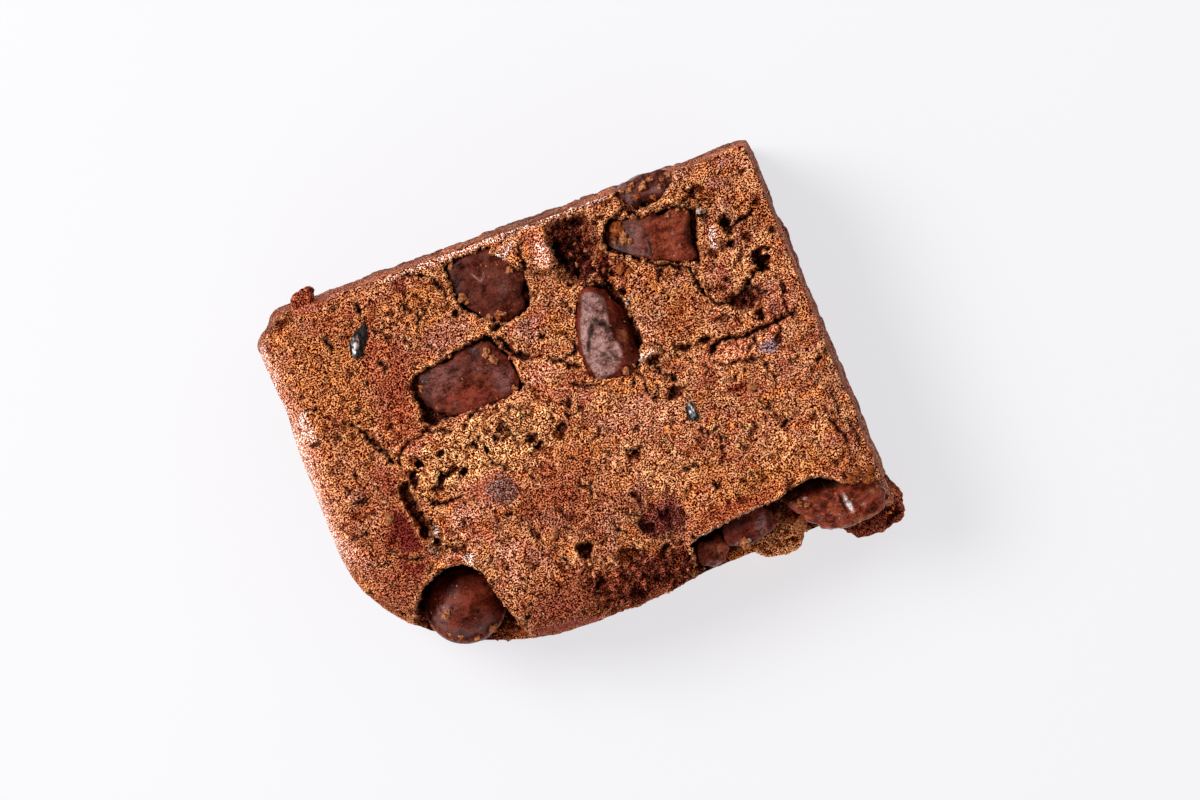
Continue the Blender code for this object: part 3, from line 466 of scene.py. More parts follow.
# Zones of the crust: middle, radii, turn in degrees, colour, strength and how much grain is left
CRUST_ZONES = (
    ((-24.0, 18.0), (16.0, 11.0), 0, "red_brown", 0.34, 1.0),
    ((-32.6, 3.0), (4.6, 18.0), 0, "red_brown", 0.14, 1.0),
    ((-30.0, -6.0), (6.0, 13.0), 0, "red_brown", 0.35, 1.0),
    ((-4.0, -13.0), (13.0, 8.0), 0, "red_brown", 0.26, 1.0),
    ((24.0, 20.0), (12.0, 9.0), 0, "red_brown", 0.15, 1.0),
    ((-30.0, 16.0), (7.0, 12.0), 0, "amber", 0.5, 1.0),
    # Partly painted shade: darker crust left of chunk_west, where its folds stand in shadow
    ((-22.0, 17.0), (3.4, 9.0), 0, "red_brown", 0.5, 1.0),
    ((-33.5, -8.0), (3.0, 6.0), 0, "red_brown", 0.35, 1.0),
    ((-6.0, -10.0), (7.0, 5.0), 0, "red_brown", 0.5, 1.1),
    ((-12.0, -21.0), (5.0, 5.0), 0, "red_brown", 0.4, 1.1),
    ((-31.5, -13.0), (3.6, 3.6), 0, "red_brown", 0.5, 1.0),
    ((26.0, 22.6), (3.6, 3.0), 0, "amber", 0.5, 1.0),
    ((28.6, 11.6), (2.6, 3.0), 0, "tan", 0.5, 1.0),
    ((-15.0, 22.0), (7.0, 4.6), 0, "amber", 0.5, 1.1),
    # Painted highlight: these pink and pale zones along the west roll stand for the sheen of the rolled edge
    # in the light from the left
    ((-38.0, 9.0), (2.8, 22.0), 0, "pink", 0.6, 0.7),
    ((-38.0, 9.0), (1.5, 20.0), 0, "pale", 0.5, 0.5),
    ((-35.5, 12.0), (0.9, 2.6), 0, "pale", 0.5, 0.6),
    ((-35.6, -6.0), (1.2, 3.0), 25, "pink", 0.6, 0.8),
    ((-28.0, 27.6), (4.6, 0.7), 4, "mauve", 0.8, 0.3),
    ((0.0, 27.1), (20.0, 0.55), -0.4, "pale", 0.6, 0.5),
    ((-13.0, 0.8), (13.0, 5.0), 3, "tan", 0.85, 1.15),
    # Painted shade: the next four zones darken the soft shadow of the folds west of chunk_west and beside the
    # west gap
    ((-23.0, 8.4), (3.6, 3.6), 0, "red_brown", 0.7, 0.7),
    ((-22.0, 12.2), (2.6, 1.6), 0, "dark_red", 0.5, 0.8),
    ((-28.2, -7.6), (2.8, 6.6), 0, "dark_red", 1.0, 0.6),
    ((-28.2, -7.6), (2.6, 6.0), 0, "maroon", 0.4, 0.6),
    ((9.0, -12.2), (4.4, 2.6), 0, "tan", 0.55, 1.0),
    ((24.0, -14.4), (4.0, 2.6), 10, "tan", 0.4, 1.0),
    ((-28.2, 1.6), (2.2, 2.6), 0, "red_brown", 0.7, 0.8),
    ((-28.0, 24.6), (3.0, 1.6), 0, "red_brown", 0.6, 0.8),
    ((-16.6, 25.8), (1.6, 1.2), 0, "dark_red", 0.8, 1.0),
    ((-31.4, 11.6), (2.4, 1.4), 20, "red_brown", 0.5, 1.0),
    ((-20.0, 15.6), (4.6, 1.6), 10, "red_brown", 0.45, 1.0),
    ((-13.0, 17.4), (4.4, 2.2), 10, "mauve", 0.5, 0.8),
    ((-12.0, 6.2), (7.0, 0.7), 0, "mauve", 0.6, 0.6),
    ((-5.8, -7.0), (6.0, 6.0), 0, "red_brown", 0.35, 0.9),
    ((-1.6, 1.0), (1.8, 3.6), -10, "red_brown", 0.6, 0.9),
    ((-2.6, 7.8), (2.6, 1.8), -20, "pink", 0.5, 0.8),
    ((-2.0, 13.4), (2.4, 2.0), 0, "mauve", 0.5, 0.9),
    ((2.4, 6.6), (1.4, 1.2), 0, "tan", 0.8, 0.6),
    ((2.2, 12.0), (1.6, 4.0), 10, "amber", 0.6, 1.0),
    ((3.4, 22.8), (1.9, 2.6), 10, "pink", 0.9, 0.6),
    ((3.4, 22.4), (1.2, 1.8), 10, "pale", 0.35, 0.5),
    ((2.4, 24.8), (0.5, 1.6), -22, "red_brown", 0.9, 0.7),
    ((1.4, 24.2), (0.4, 1.2), -30, "orange", 0.9, 0.8),
    ((4.6, 25.4), (0.7, 1.6), 20, "orange", 0.8, 1.0),
    ((-0.2, 23.6), (1.0, 0.9), 0, "orange", 0.7, 1.0),
    # Painted highlight on the upper-left edge of the raised flake, which faces the light
    ((-1.6, 24.8), (1.8, 0.7), 32, "pale", 0.7, 0.5),
    ((1.8, 26.6), (1.4, 0.7), 0, "orange", 0.6, 0.9),
    ((28.8, 23.1), (1.2, 0.8), -20, "mauve", 0.7, 0.5),
    ((31.4, 25.4), (1.2, 0.9), 0, "mauve", 0.8, 0.5),
    ((30.0, 20.4), (0.8, 0.6), 0, "dark_red", 0.6, 0.8),
    ((33.0, 15.4), (1.4, 1.6), 0, "red_brown", 0.6, 1.0),
    ((25.9, 16.2), (0.7, 2.0), -14, "pale", 0.45, 0.7),
    ((25.6, 18.8), (1.0, 0.7), -20, "mauve", 0.7, 0.8),
    ((22.6, 23.3), (3.0, 0.6), -14, "tan", 0.8, 0.8),
    ((17.5, 9.6), (6.2, 5.2), 0, "amber", 0.35, 1.0),
    ((18.4, 8.2), (4.0, 2.4), 10, "red_brown", 0.35, 1.0),
    ((19.6, 12.6), (2.4, 1.6), 0, "mauve", 0.4, 0.9),
    ((12.9, 9.0), (1.2, 2.6), 0, "pink", 0.7, 0.8),
    ((11.4, 4.6), (1.5, 0.5), 10, "pale", 0.8, 0.6),
    ((23.9, 11.6), (1.0, 0.8), 0, "pink", 0.6, 0.7),
    ((31.6, 5.2), (2.6, 3.4), 0, "mauve", 0.65, 0.6),
    ((30.4, 4.4), (1.2, 0.8), 0, "dark_red", 0.5, 0.7),
    ((26.6, 6.6), (1.7, 1.2), 0, "red_brown", 0.7, 0.8),
    ((25.0, 0.4), (6.0, 1.6), -4, "pink", 0.5, 0.6),
    ((27.8, -0.3), (2.2, 1.2), -6, "slate", 1.0, 0.5),
    ((21.4, -4.0), (2.4, 0.8), 8, "dark_red", 0.85, 0.7),
    ((14.4, -4.8), (0.8, 1.2), 0, "hollow", 0.6, 0.8),
    ((5.4, -17.2), (4.2, 3.4), -10, "maroon", 0.9, 1.2),
    ((1.6, -14.0), (1.8, 2.6), 0, "dark_red", 0.5, 1.1),
    # Partly painted shade, as the south roll faces away from the light, and partly its darker, redder crumb
    ((0.0, -24.0), (9.4, 3.6), 0, "dark_red", 0.85, 1.3),
    ((-11.0, -22.6), (7.0, 2.8), 8, "roll", 0.6, 1.1),
    ((22.0, -18.2), (13.0, 2.8), 1, "amber", 0.6, 1.0),
    ((15.0, -19.8), (9.0, 1.8), 3, "red_brown", 0.7, 0.6),
    ((30.0, -19.6), (4.0, 2.0), -20, "red_brown", 0.5, 0.8),
    # Partly painted shade: darker crust left of chunk_west, where its folds stand in shadow
    ((-22.2, 15.0), (3.0, 8.0), 0, "red_brown", 0.4, 0.8),
    ((13.0, -15.0), (4.0, 2.6), 0, "orange", 0.4, 1.0),
    ((13.6, -10.0), (1.6, 1.2), 0, "red_brown", 0.6, 0.9),
    ((17.4, -11.8), (3.0, 1.8), 0, "red_brown", 0.4, 1.0),
    ((-15.6, -13.4), (2.2, 1.6), 20, "pink", 0.7, 0.8),
    ((-16.0, -16.6), (1.3, 2.2), 0, "pink", 0.65, 0.8),
    ((-21.2, -12.4), (0.9, 0.9), 0, "pale", 0.6, 0.8),
    ((-19.6, -7.0), (2.6, 1.6), 10, "pink", 0.6, 0.9),
    ((-24.1, -7.0), (0.6, 1.0), 0, "pale", 0.8, 1.0),
    ((-25.4, -9.8), (0.5, 0.8), 0, "pale", 0.8, 1.0),
    ((-23.6, -9.9), (1.4, 0.7), 0, "tan", 0.6, 1.2),
    ((8.0, -3.0), (7.0, 3.0), 0, "pink", 0.35, 0.9),
    ((3.0, -9.6), (5.0, 3.0), 0, "tan", 0.3, 1.0),
    ((2.2, 0.6), (1.6, 1.2), 0, "tan", 0.5, 1.0),
    ((-12.6, -26.0), (6.4, 0.6), -9, "mauve", 0.9, 0.3),
    ((-14.6, -4.8), (3.6, 2.9), 0, "mauve", 0.85, 0.35),
    ((-13.4, -5.4), (2.5, 2.3), 0, "grey_mauve", 0.9, 0.45),
    ((-12.2, -7.6), (1.6, 0.5), 8, "tan", 0.8, 0.9),
    ((-29.8, -3.1), (1.1, 0.6), 30, "orange", 0.8, 0.8),
    ((7.4, 2.9), (3.4, 0.7), -8, "orange", 0.7, 0.8),
    ((8.2, 20.2), (3.6, 4.6), 0, "maroon", 0.9, 1.3),
    ((11.2, 17.8), (3.4, 2.8), -20, "dark_red", 0.8, 1.3),
    ((10.8, 19.6), (3.4, 3.8), -10, "dark_red", 0.75, 1.2),
    ((10.4, 23.4), (1.8, 2.6), 0, "dark_red", 0.6, 1.1),
    ((12.8, 16.4), (1.0, 1.3), 20, "orange", 0.8, 1.0),
    ((-34.2, 26.8), (1.6, 1.6), 0, "dark_red", 0.7, 1.1),
    ((33.6, -16.0), (0.8, 2.4), -4, "mauve", 0.7, 0.5),
    ((34.2, -21.0), (0.7, 2.4), 0, "tan", 0.4, 0.8),
    # Painted highlight along the rounded crust edge over the south break
    ((13.8, -20.9), (6.6, 0.35), 5, "pale", 0.6, 0.5),
)

# Zones on the floors of the breaks, painted after the hollows are darkened
FLOOR_ZONES = (
    ((19.4, -25.4), (4.4, 2.2), 0, "tan", 0.95, 0.8),
    ((13.6, -25.8), (4.0, 1.0), 0, "orange", 0.7, 1.0),
    ((22.4, -23.0), (1.8, 1.8), 0, "red_brown", 0.6, 1.1),
    ((-19.4, -24.2), (1.6, 1.4), -20, "orange", 0.6, 1.1),
    ((-19.2, 11.8), (0.8, 1.8), 0, "red_brown", 0.8, 1.0),
)

# Zones on the lumps
LUMP_ZONES = (
    # Partly painted shadow, as chunk_southeast shades the corner lump, and partly its dark crumb
    ((33.4, -27.0), (5.0, 3.4), 0, "dark_red", 0.6, 1.0),
    ((35.4, -28.2), (1.2, 0.6), 20, "orange", 0.9, 1.0),
    ((36.4, -25.6), (0.6, 1.6), 20, "orange", 0.7, 1.0),
    ((19.6, -26.0), (5.4, 3.6), 0, "tan", 0.95, 0.8),
    ((-29.4, 29.0), (2.0, 1.6), 0, "red_brown", 0.6, 1.0),
)

# Colours of the chocolate and zones on each piece
CHOCOLATE_COLOURS = {
    "north": (92, 40, 28),
    "west": (104, 46, 32),
    "middle": (108, 40, 27),
    "northeast": (130, 58, 38),
    "edge": (92, 42, 33),
    "drop": (108, 44, 29),
    "south": (118, 50, 35),
    "southeast": (146, 67, 45),
    # Painted light: the next two colours and sheen are painted sheen, olive is painted shade, glint a painted
    # glint; dark serves both dark marks and painted shade
    "pale_sheen": (156, 116, 108),
    # Painted sheen in a lilac tint
    "lilac": (132, 96, 92),
    "red": (120, 46, 28),
    "sheen": (150, 108, 104),
    "shaded_olive": (84, 50, 32),
    "northwest_face": (104, 52, 44),
    "dark": (34, 12, 8),
    "glint": (250, 244, 242),
    "dust": (166, 104, 66),
}
# In these zones, dark strokes along a chunk's edge under the crust, or on its side away from the light, are
# painted shade; the short dark strokes on chunk_middle's face are scratches; sheen, lilac and glint are
# painted sheen and glints
CHUNK_PAINT = {
    "chunk_north": ("north", (
        ((-6.2, 23.0), (1.0, 0.16), -60, "sheen", 0.7), ((-5.5, 22.7), (0.7, 0.14), 25, "sheen", 0.7),
        ((-9.4, 23.4), (1.2, 3.6), 0, "dark", 0.5), ((-1.4, 18.6), (1.6, 2.0), 30, "dark", 0.45))),
    "chunk_west": ("west", (
        ((-13.0, 8.3), (4.2, 1.8), -10, "red", 0.7), ((-16.0, 11.4), (3.0, 2.4), 0, "lilac", 0.2),
        ((-7.8, 8.6), (1.8, 2.4), -20, "lilac", 0.3), ((-12.0, 12.6), (4.0, 0.4), 10, "dark", 0.5),
        # The last zone is painted shade on the left edge, in the shadow of the crust wall beside it
        ((-10.0, 11.2), (2.6, 0.25), -20, "lilac", 0.6), ((-18.6, 10.0), (0.8, 4.0), 0, "dark", 0.6))),
    "chunk_middle": ("middle", (
        ((6.0, 6.2), (2.0, 1.6), 0, "lilac", 0.3),
        ((7.1, 13.6), (1.2, 1.6), 0, "sheen", 0.5), ((5.7, 10.4), (1.5, 0.55), 58, "dark", 0.95),
        ((7.5, 10.7), (1.0, 0.6), -52, "dark", 0.95), ((6.9, 11.7), (0.5, 0.5), 0, "dark", 0.9),
        ((4.7, 8.6), (1.2, 0.4), 70, "dark", 0.9), ((8.1, 9.7), (0.7, 0.6), 30, "dark", 0.8),
        ((6.3, 13.4), (0.4, 0.35), -40, "dark", 0.8), ((6.4, 6.6), (1.3, 0.3), -52, "dark", 0.7),
        ((7.6, 6.0), (1.2, 0.3), -60, "dark", 0.7), ((5.2, 6.0), (0.9, 0.3), -50, "dark", 0.6),
        ((9.6, 8.4), (0.8, 1.4), -10, "dust", 0.5), ((9.4, 12.0), (0.8, 1.6), 20, "red", 0.8),
        # Painted shade down the right side, which falls away from the light
        ((11.0, 7.4), (0.7, 3.6), 0, "dark", 0.85), ((9.9, 5.6), (1.0, 0.9), 0, "dark", 0.5))),
    "chunk_northeast": ("northeast", (
        ((14.4, 20.6), (2.6, 2.0), 0, "lilac", 0.2), ((13.4, 19.4), (1.8, 0.7), -30, "dark", 0.6),
        ((17.5, 18.6), (0.22, 2.2), -8, "dark", 0.8), ((17.2, 18.6), (0.15, 2.0), -8, "sheen", 0.6),
        ((18.2, 22.0), (3.4, 0.5), -8, "dark", 0.5), ((23.4, 17.6), (0.9, 3.4), -16, "dark", 0.8),
        ((16.2, 17.8), (1.4, 0.4), -38, "lilac", 0.7), ((21.0, 18.8), (0.3, 0.16), 60, "sheen", 0.8),
        ((21.4, 17.0), (0.4, 0.16), 60, "sheen", 0.8))),
    "chunk_edge": ("edge", (
        ((17.2, 26.2), (1.2, 1.6), 30, "lilac", 0.4), ((21.6, 25.4), (2.0, 0.9), 25, "lilac", 0.5),
        ((19.4, 24.2), (2.4, 0.7), 0, "dark", 0.7))),
    "chunk_south_small": ("southeast", (
        ((11.0, -24.4), (0.3, 1.4), -10, "dust", 0.7), ((10.6, -24.4), (0.2, 1.3), -10, "dark", 0.6),
        ((9.6, -25.4), (1.8, 0.5), 0, "lilac", 0.6), ((10.0, -22.4), (1.6, 0.6), 0, "dark", 0.6))),
    "chunk_south": ("south", (
        ((17.8, -22.8), (0.9, 1.7), -12, "sheen", 0.75), ((14.4, -21.4), (2.4, 0.9), 0, "dark", 0.7),
        ((19.0, -22.6), (0.5, 2.0), -10, "dark", 0.6), ((14.0, -24.0), (1.0, 0.3), 10, "sheen", 0.7))),
    "chunk_southeast": ("southeast", (
        # Painted shadow along the top under the crust's arch; the glint zones are painted glints and the
        # sheen specks painted sheen
        ((26.4, -20.5), (4.2, 1.2), -12, "dark", 0.85), ((31.2, -22.6), (2.6, 0.9), -10, "red", 0.5),
        ((29.0, -27.5), (5.4, 0.4), 3, "dust", 0.9), ((29.9, -24.4), (0.34, 1.6), 6, "glint", 1.0),
        ((29.2, -24.2), (0.3, 1.8), 4, "dark", 0.9), ((26.8, -23.6), (1.6, 0.4), 30, "dark", 0.7),
        ((26.0, -23.2), (0.3, 0.2), 30, "sheen", 0.7), ((27.3, -24.8), (0.4, 0.2), -20, "sheen", 0.7),
        ((28.3, -23.4), (0.3, 0.2), 0, "sheen", 0.7), ((25.6, -25.2), (0.5, 0.2), 40, "sheen", 0.7),
        ((31.8, -25.4), (0.3, 0.3), 0, "sheen", 0.9), ((33.6, -24.2), (0.5, 0.4), 0, "dust", 0.9),
        ((27.6, -22.4), (0.8, 0.4), -20, "dark", 0.7), ((31.4, -24.0), (0.5, 0.4), 0, "dark", 0.6),
        ((24.6, -21.7), (0.22, 0.22), 0, "glint", 0.9), ((32.8, -26.2), (1.0, 0.4), 20, "dark", 0.5),
        ((25.6, -24.8), (0.9, 0.2), -50, "sheen", 0.7), ((28.4, -25.6), (0.7, 0.18), 0, "sheen", 0.6),
        ((32.6, -24.6), (1.4, 0.3), 20, "dark", 0.5))),
}

# Zones on the drop: a painted sheen patch and painted shadow along its top under the crust's edge; and the
# colour of the dark flakes
DROP_ZONES = (((-27.4, -18.2), (1.2, 1.4), -30, "sheen", 0.6), ((-23.0, -14.6), (4.0, 1.4), 0, "dark", 0.5))
FLAKE_BLACK = (28, 18, 16)

# Loose crumbs: darkest and lightest colour, and roughness
CRUMB_KINDS = {
    "tan": ((118, 54, 26), (220, 144, 94), 0.75),
    "orange": ((98, 38, 14), (196, 106, 52), 0.7),
    "pale": ((180, 140, 118), (240, 222, 208), 0.4),
}

# Scattered crumbs: smallest and largest size, how often each kind comes, and how far some lie from a rim
RIM_CRUMB_SIZE = (0.2, 0.6)
RIM_CRUMB_KINDS = ("tan", "tan", "orange")
RIM_SPREAD = 0.4
LOOSE_CRUMB_SIZE = (0.15, 0.34)
LOOSE_CRUMB_KINDS = ("tan", "tan", "tan", "orange", "pale")

# How finely the placed crumbs and the scattered ones are made
PLACED_DETAIL = 3
SCATTERED_DETAIL = 1

# Nothing lies loose below this height
LOWEST_CRUMB = 13.0

# Crumbs placed one by one: kind, middle and size in millimetres
PLACED_CRUMBS = (
    ("tan", (-9.1, 21.2), 1.5), ("tan", (-8.6, 20.4), 0.9), ("tan", (-6.5, 17.4), 1.1),
    ("tan", (-4.8, 17.2), 1.1), ("tan", (-8.9, 25.8), 0.9), ("tan", (-1.6, 22.3), 1.1),
    ("orange", (-5.4, 16.9), 0.8), ("tan", (-8.8, 12.9), 1.1), ("tan", (-8.2, 11.7), 1.3),
    ("tan", (-19.2, 12.2), 0.6), ("tan", (-19.0, 11.4), 0.5), ("orange", (12.5, 16.8), 1.6),
    ("orange", (13.6, 16.2), 0.9), ("orange", (14.2, 22.2), 1.5), ("tan", (14.6, 20.7), 1.6),
    ("tan", (13.2, 20.6), 1.0), ("orange", (13.4, 21.4), 0.9), ("tan", (15.3, 20.0), 0.8),
    ("tan", (21.3, 21.4), 0.8), ("tan", (19.6, 26.3), 1.5), ("tan", (20.8, 26.9), 1.1),
    ("tan", (18.2, 27.0), 0.9), ("pale", (25.5, 20.4), 0.9), ("pale", (26.1, 20.1), 0.6),
    ("pale", (12.2, 12.7), 0.5), ("pale", (11.7, 12.1), 0.4), ("pale", (12.8, 13.0), 0.4),
    ("tan", (2.7, -7.9), 0.6), ("pale", (14.6, -1.6), 0.4), ("orange", (-18.9, 12.9), 0.6),
    ("orange", (-18.8, 11.8), 0.6), ("tan", (-19.4, 10.8), 0.5), ("orange", (12.6, 19.4), 1.1),
    ("tan", (11.4, 20.6), 0.9), ("orange", (10.6, 19.6), 0.8), ("tan", (11.8, 18.2), 0.8),
    ("orange", (10.4, 17.6), 0.9), ("tan", (9.2, 21.0), 0.6), ("orange", (8.0, 22.4), 0.5),
    ("tan", (7.2, 19.6), 0.5), ("tan", (10.0, 24.0), 0.8), ("orange", (6.6, 17.0), 0.8),
    ("tan", (5.6, 17.8), 0.8), ("orange", (11.0, 16.0), 0.8), ("tan", (3.8, 19.2), 0.9),
    ("orange", (-30.4, -18.8), 0.7), ("tan", (-29.6, -19.2), 0.7), ("orange", (-28.9, -19.9), 0.6),
    ("tan", (-27.6, -21.3), 0.6), ("orange", (-26.4, -22.2), 0.6), ("tan", (-24.4, -23.2), 0.6),
    ("tan", (17.6, 26.5), 0.8), ("orange", (22.4, 26.2), 0.9), ("tan", (21.7, 25.5), 0.7),
    ("orange", (18.3, 25.3), 0.7), ("tan", (16.6, 26.7), 0.7), ("orange", (20.4, 24.4), 0.8),
    ("tan", (19.2, 24.0), 0.7), ("tan", (23.4, 26.6), 0.7), ("tan", (16.8, 22.9), 0.8),
    ("orange", (18.0, 22.6), 0.7), ("tan", (22.8, 21.6), 0.7), ("orange", (23.9, 20.7), 0.6),
    ("orange", (-19.8, -23.8), 1.1), ("tan", (-18.6, -23.4), 0.9), ("orange", (-18.2, -24.8), 1.0),
    ("tan", (23.4, -4.8), 1.0), ("tan", (-27.0, -18.6), 1.1), ("tan", (-21.8, -22.6), 1.0),
    ("tan", (-19.0, -24.4), 1.3), ("tan", (-20.6, -24.8), 1.0), ("orange", (-22.4, -24.6), 0.9),
    ("orange", (-24.6, -23.8), 1.0), ("tan", (-26.4, -22.0), 0.7), ("orange", (-28.0, -20.9), 0.6),
    ("tan", (-9.1, -13.6), 1.3), ("tan", (14.8, -24.5), 1.3), ("pale", (15.4, -24.3), 0.8),
    ("tan", (20.3, -22.6), 1.4), ("pale", (20.6, -22.3), 0.8), ("tan", (20.9, -23.6), 1.3),
    ("orange", (22.0, -23.8), 1.1), ("tan", (22.9, -25.0), 1.5), ("tan", (23.4, -25.7), 1.0),
    ("orange", (31.5, -21.5), 1.3), ("orange", (32.6, -21.0), 1.2), ("orange", (33.6, -22.4), 1.3),
    ("tan", (34.6, -23.6), 1.1), ("orange", (34.4, -21.2), 1.0), ("tan", (24.6, -22.6), 1.0),
    ("tan", (23.7, -22.0), 0.8), ("tan", (-29.4, -3.2), 1.2), ("orange", (-29.6, -2.6), 0.9),
    ("tan", (26.6, -9.4), 0.8), ("tan", (-6.9, 6.9), 0.7), ("tan", (8.2, 3.6), 0.8),
    ("pale", (10.6, 4.2), 0.7), ("tan", (9.4, 3.8), 0.7),
)

# The stage, in metres: how far the picture is turned, and the places and colours of floor, lamp and room
PICTURE_TURN = math.radians(-21.5)
CAMERA_PLACE = (3.39 * MM, 1.20 * MM)
FLOOR_HALF = 3.0
FLOOR_COLOUR = (0.28, 0.28, 0.285, 1.0)
FLOOR_GLOW = (0.975, 0.97, 1.0, 1.0)
LAMP_PLACE = (-0.62, 0.24, 0.72)
LAMP_SIZE = 0.5
LAMP_COLOUR = (1.0, 0.985, 0.965)
ROOM_COLOUR = (0.975, 0.98, 1.0, 1.0)
WALL_TOP, CEILING_FROM = 0.5, 0.9


def linear(colour):
    """A screen colour from 0 to 255 as the light that a shader works with."""
    share = np.array(colour, float) / 255.0
    return np.where(share <= 0.04045, share / 12.92, ((share + 0.055) / 1.055) ** 2.4)


def smoothstep(t):
    """0 up to zero, 1 from one on, and an even S between."""
    t = np.clip(t, 0.0, 1.0)
    return t * t * (3.0 - 2.0 * t)


def field(x, y, wavelength, seed):
    """Smooth noise from about -1 to 1 over the plan, the same as the solids have."""
    places = zip((x / wavelength).tolist(), (y / wavelength).tolist())
    return np.array([noise.noise((a, b, seed)) for a, b in places])


def layered(x, y, layers, seed):
    """Noise over the plan in layers of a wavelength and an amount each."""
    return sum(amount * field(x, y, wavelength, seed + i) for i, (wavelength, amount) in enumerate(layers))


def space_field(points, wavelength, seed):
    """Smooth noise from about -1 to 1 in space."""
    return np.array([noise.noise(place) for place in (points / wavelength + seed).tolist()])


def on_outline(points, share):
    """The place on a smooth closed curve through the points, share from 0 to 1 of the way round."""
    count = len(points)
    place = (share % 1.0) * count
    i = int(place)
    t = place - i
    p0, p1, p2, p3 = (Vector(points[(i + k) % count]) for k in (-1, 0, 1, 2))
    return 0.5 * (2 * p1 + (p2 - p0) * t + (2 * p0 - 5 * p1 + 4 * p2 - p3) * t * t
                  + (3 * p1 - p0 - 3 * p2 + p3) * t ** 3)


def on_polygon(points, share):
    """The place on a closed line through the points, share from 0 to 1 of the way round."""
    place = (share % 1.0) * len(points)
    i = int(place) % len(points)
    return Vector(points[i]).lerp(Vector(points[(i + 1) % len(points)]), place - int(place))


def middle_of(outline):
    return sum((Vector(point) for point in outline), Vector((0, 0))) / len(outline)


def turned(x, y, degrees):
    """Places as a frame turned by so many degrees has them."""
    c, s = math.cos(math.radians(degrees)), math.sin(math.radians(degrees))
    return x * c + y * s, y * c - x * s


def rounded(x, y, corner, side_x, side_y):
    """Moves places in a square corner of the plan to where the rounded corner has them."""
    (cx, cy), (rx, ry) = corner
    a = (x - cx) / rx
    b = (y - cy) / ry
    there = (a * side_x > 0) & (b * side_y > 0)
    return (np.where(there, cx + rx * a * np.sqrt(1 - b * b / 2), x),
            np.where(there, cy + ry * b * np.sqrt(1 - a * a / 2), y))


def plan(x, y):
    """Moves places in the square plan to the real one, with its rounded corners, slants, step and dent."""
    x, y = rounded(x, y, SOUTHWEST_CORNER, -1, -1)
    x, y = rounded(x, y, NORTHWEST_CORNER, -1, 1)
    slant, start, run = NORTH_SLANT
    y = y - slant * x * smoothstep((y - start) / run)
    slant, start, run = EAST_SLANT
    x = x - slant * y * smoothstep((x - start) / run)
    (south, south_run), (west, west_run) = SIDE_REACH
    start, length, depth = SOUTH_STEP
    y = y + depth * smoothstep((x - start) / length) * smoothstep((south - y) / south_run)
    place, length, depth = WEST_DENT
    return x + depth * np.exp(-((y - place) / length) ** 2) * smoothstep((west - x) / west_run), y


def baked_distance(x, y):
    """How far places are in from the baked edge, and how much of that edge faces south."""
    (cx, cy), (rx, ry) = SOUTHWEST_CORNER
    a = np.minimum(x - cx, 0.0) / rx
    b = np.minimum(y - cy, 0.0) / ry
    out = np.hypot(a, b)
    away = np.maximum(out, 1e-9)
    inward = np.where(out > 0, (1 - out) * np.hypot(a * rx, b * ry) / away, 99.0)
    return inward, smoothstep(-b / away)


def crust_height(x, y):
    """The height of the crust before anything is cut into it."""
    ledge = np.interp(x, *np.array(LEDGE).T)
    swell = smoothstep((ledge - y) / SWELL_SLOPES[0])
    swell = swell * smoothstep((x - SWELL_ENDS[0]) / SWELL_SLOPES[1])
    swell = swell * smoothstep((SWELL_ENDS[1] - x) / SWELL_SLOPES[2])
    z = PLATE_TOP + SWELL_RISE * swell
    for layer, (wavelength, height) in enumerate(UNEVENNESS):
        z = z + height * field(x, y, wavelength, layer + 1.0)
    (bx, by), radius, rise = BURIED_CHIP
    z = z + rise * (1 - smoothstep(np.hypot(x - bx, y - by) / radius))
    inward, south = baked_distance(x, y)
    width = WEST_ROLL[0] + (SOUTH_ROLL[0] - WEST_ROLL[0]) * south
    drop = WEST_ROLL[1] + (SOUTH_ROLL[1] - WEST_ROLL[1]) * south
    over = np.clip(1 - inward / width, 0.0, 1.0)
    return z - drop * (1 - np.sqrt(1 - over * over))


def level_at(outline):
    """The height of the crust over the middle of an outline."""
    place = middle_of(outline)
    return float(crust_height(np.array([place.x]), np.array([place.y]))[0])


def cut_share(x, y):
    """1 on the cut north and east faces, and 0 on the baked ones."""
    return np.maximum(smoothstep((y - CUT_FROM[0]) / CUT_BLEND), smoothstep((x - CUT_FROM[1]) / CUT_BLEND))


def nearest_on_line(x, y, line):
    """For each place the distance to a line of points, and the nearest place on it."""
    start, end = line[:-1], line[1:]
    run = end - start
    length = np.maximum((run ** 2).sum(1), 1e-12)
    share = ((x[:, None] - start[:, 0]) * run[:, 0] + (y[:, None] - start[:, 1]) * run[:, 1]) / length
    share = np.clip(share, 0.0, 1.0)
    px = start[:, 0] + share * run[:, 0]
    py = start[:, 1] + share * run[:, 1]
    distance = np.hypot(x[:, None] - px, y[:, None] - py)
    best = distance.argmin(1)
    rows = np.arange(len(x))
    return distance[rows, best], px[rows, best], py[rows, best], (best + share[rows, best]) / len(start)


def inside_outline(x, y, line):
    """Which places lie inside a closed line."""
    start, end = line[:-1], line[1:]
    above = (start[:, 1] > y[:, None]) != (end[:, 1] > y[:, None])
    rise = np.where(end[:, 1] == start[:, 1], 1e-12, end[:, 1] - start[:, 1])
    crossing = start[:, 0] + (y[:, None] - start[:, 1]) * (end[:, 0] - start[:, 0]) / rise
    return ((above & (x[:, None] < crossing)).sum(1) % 2).astype(bool)


def near_box(x, y, line, margin):
    low, high = line.min(0) - margin, line.max(0) + margin
    return (x > low[0]) & (x < high[0]) & (y > low[1]) & (y < high[1])


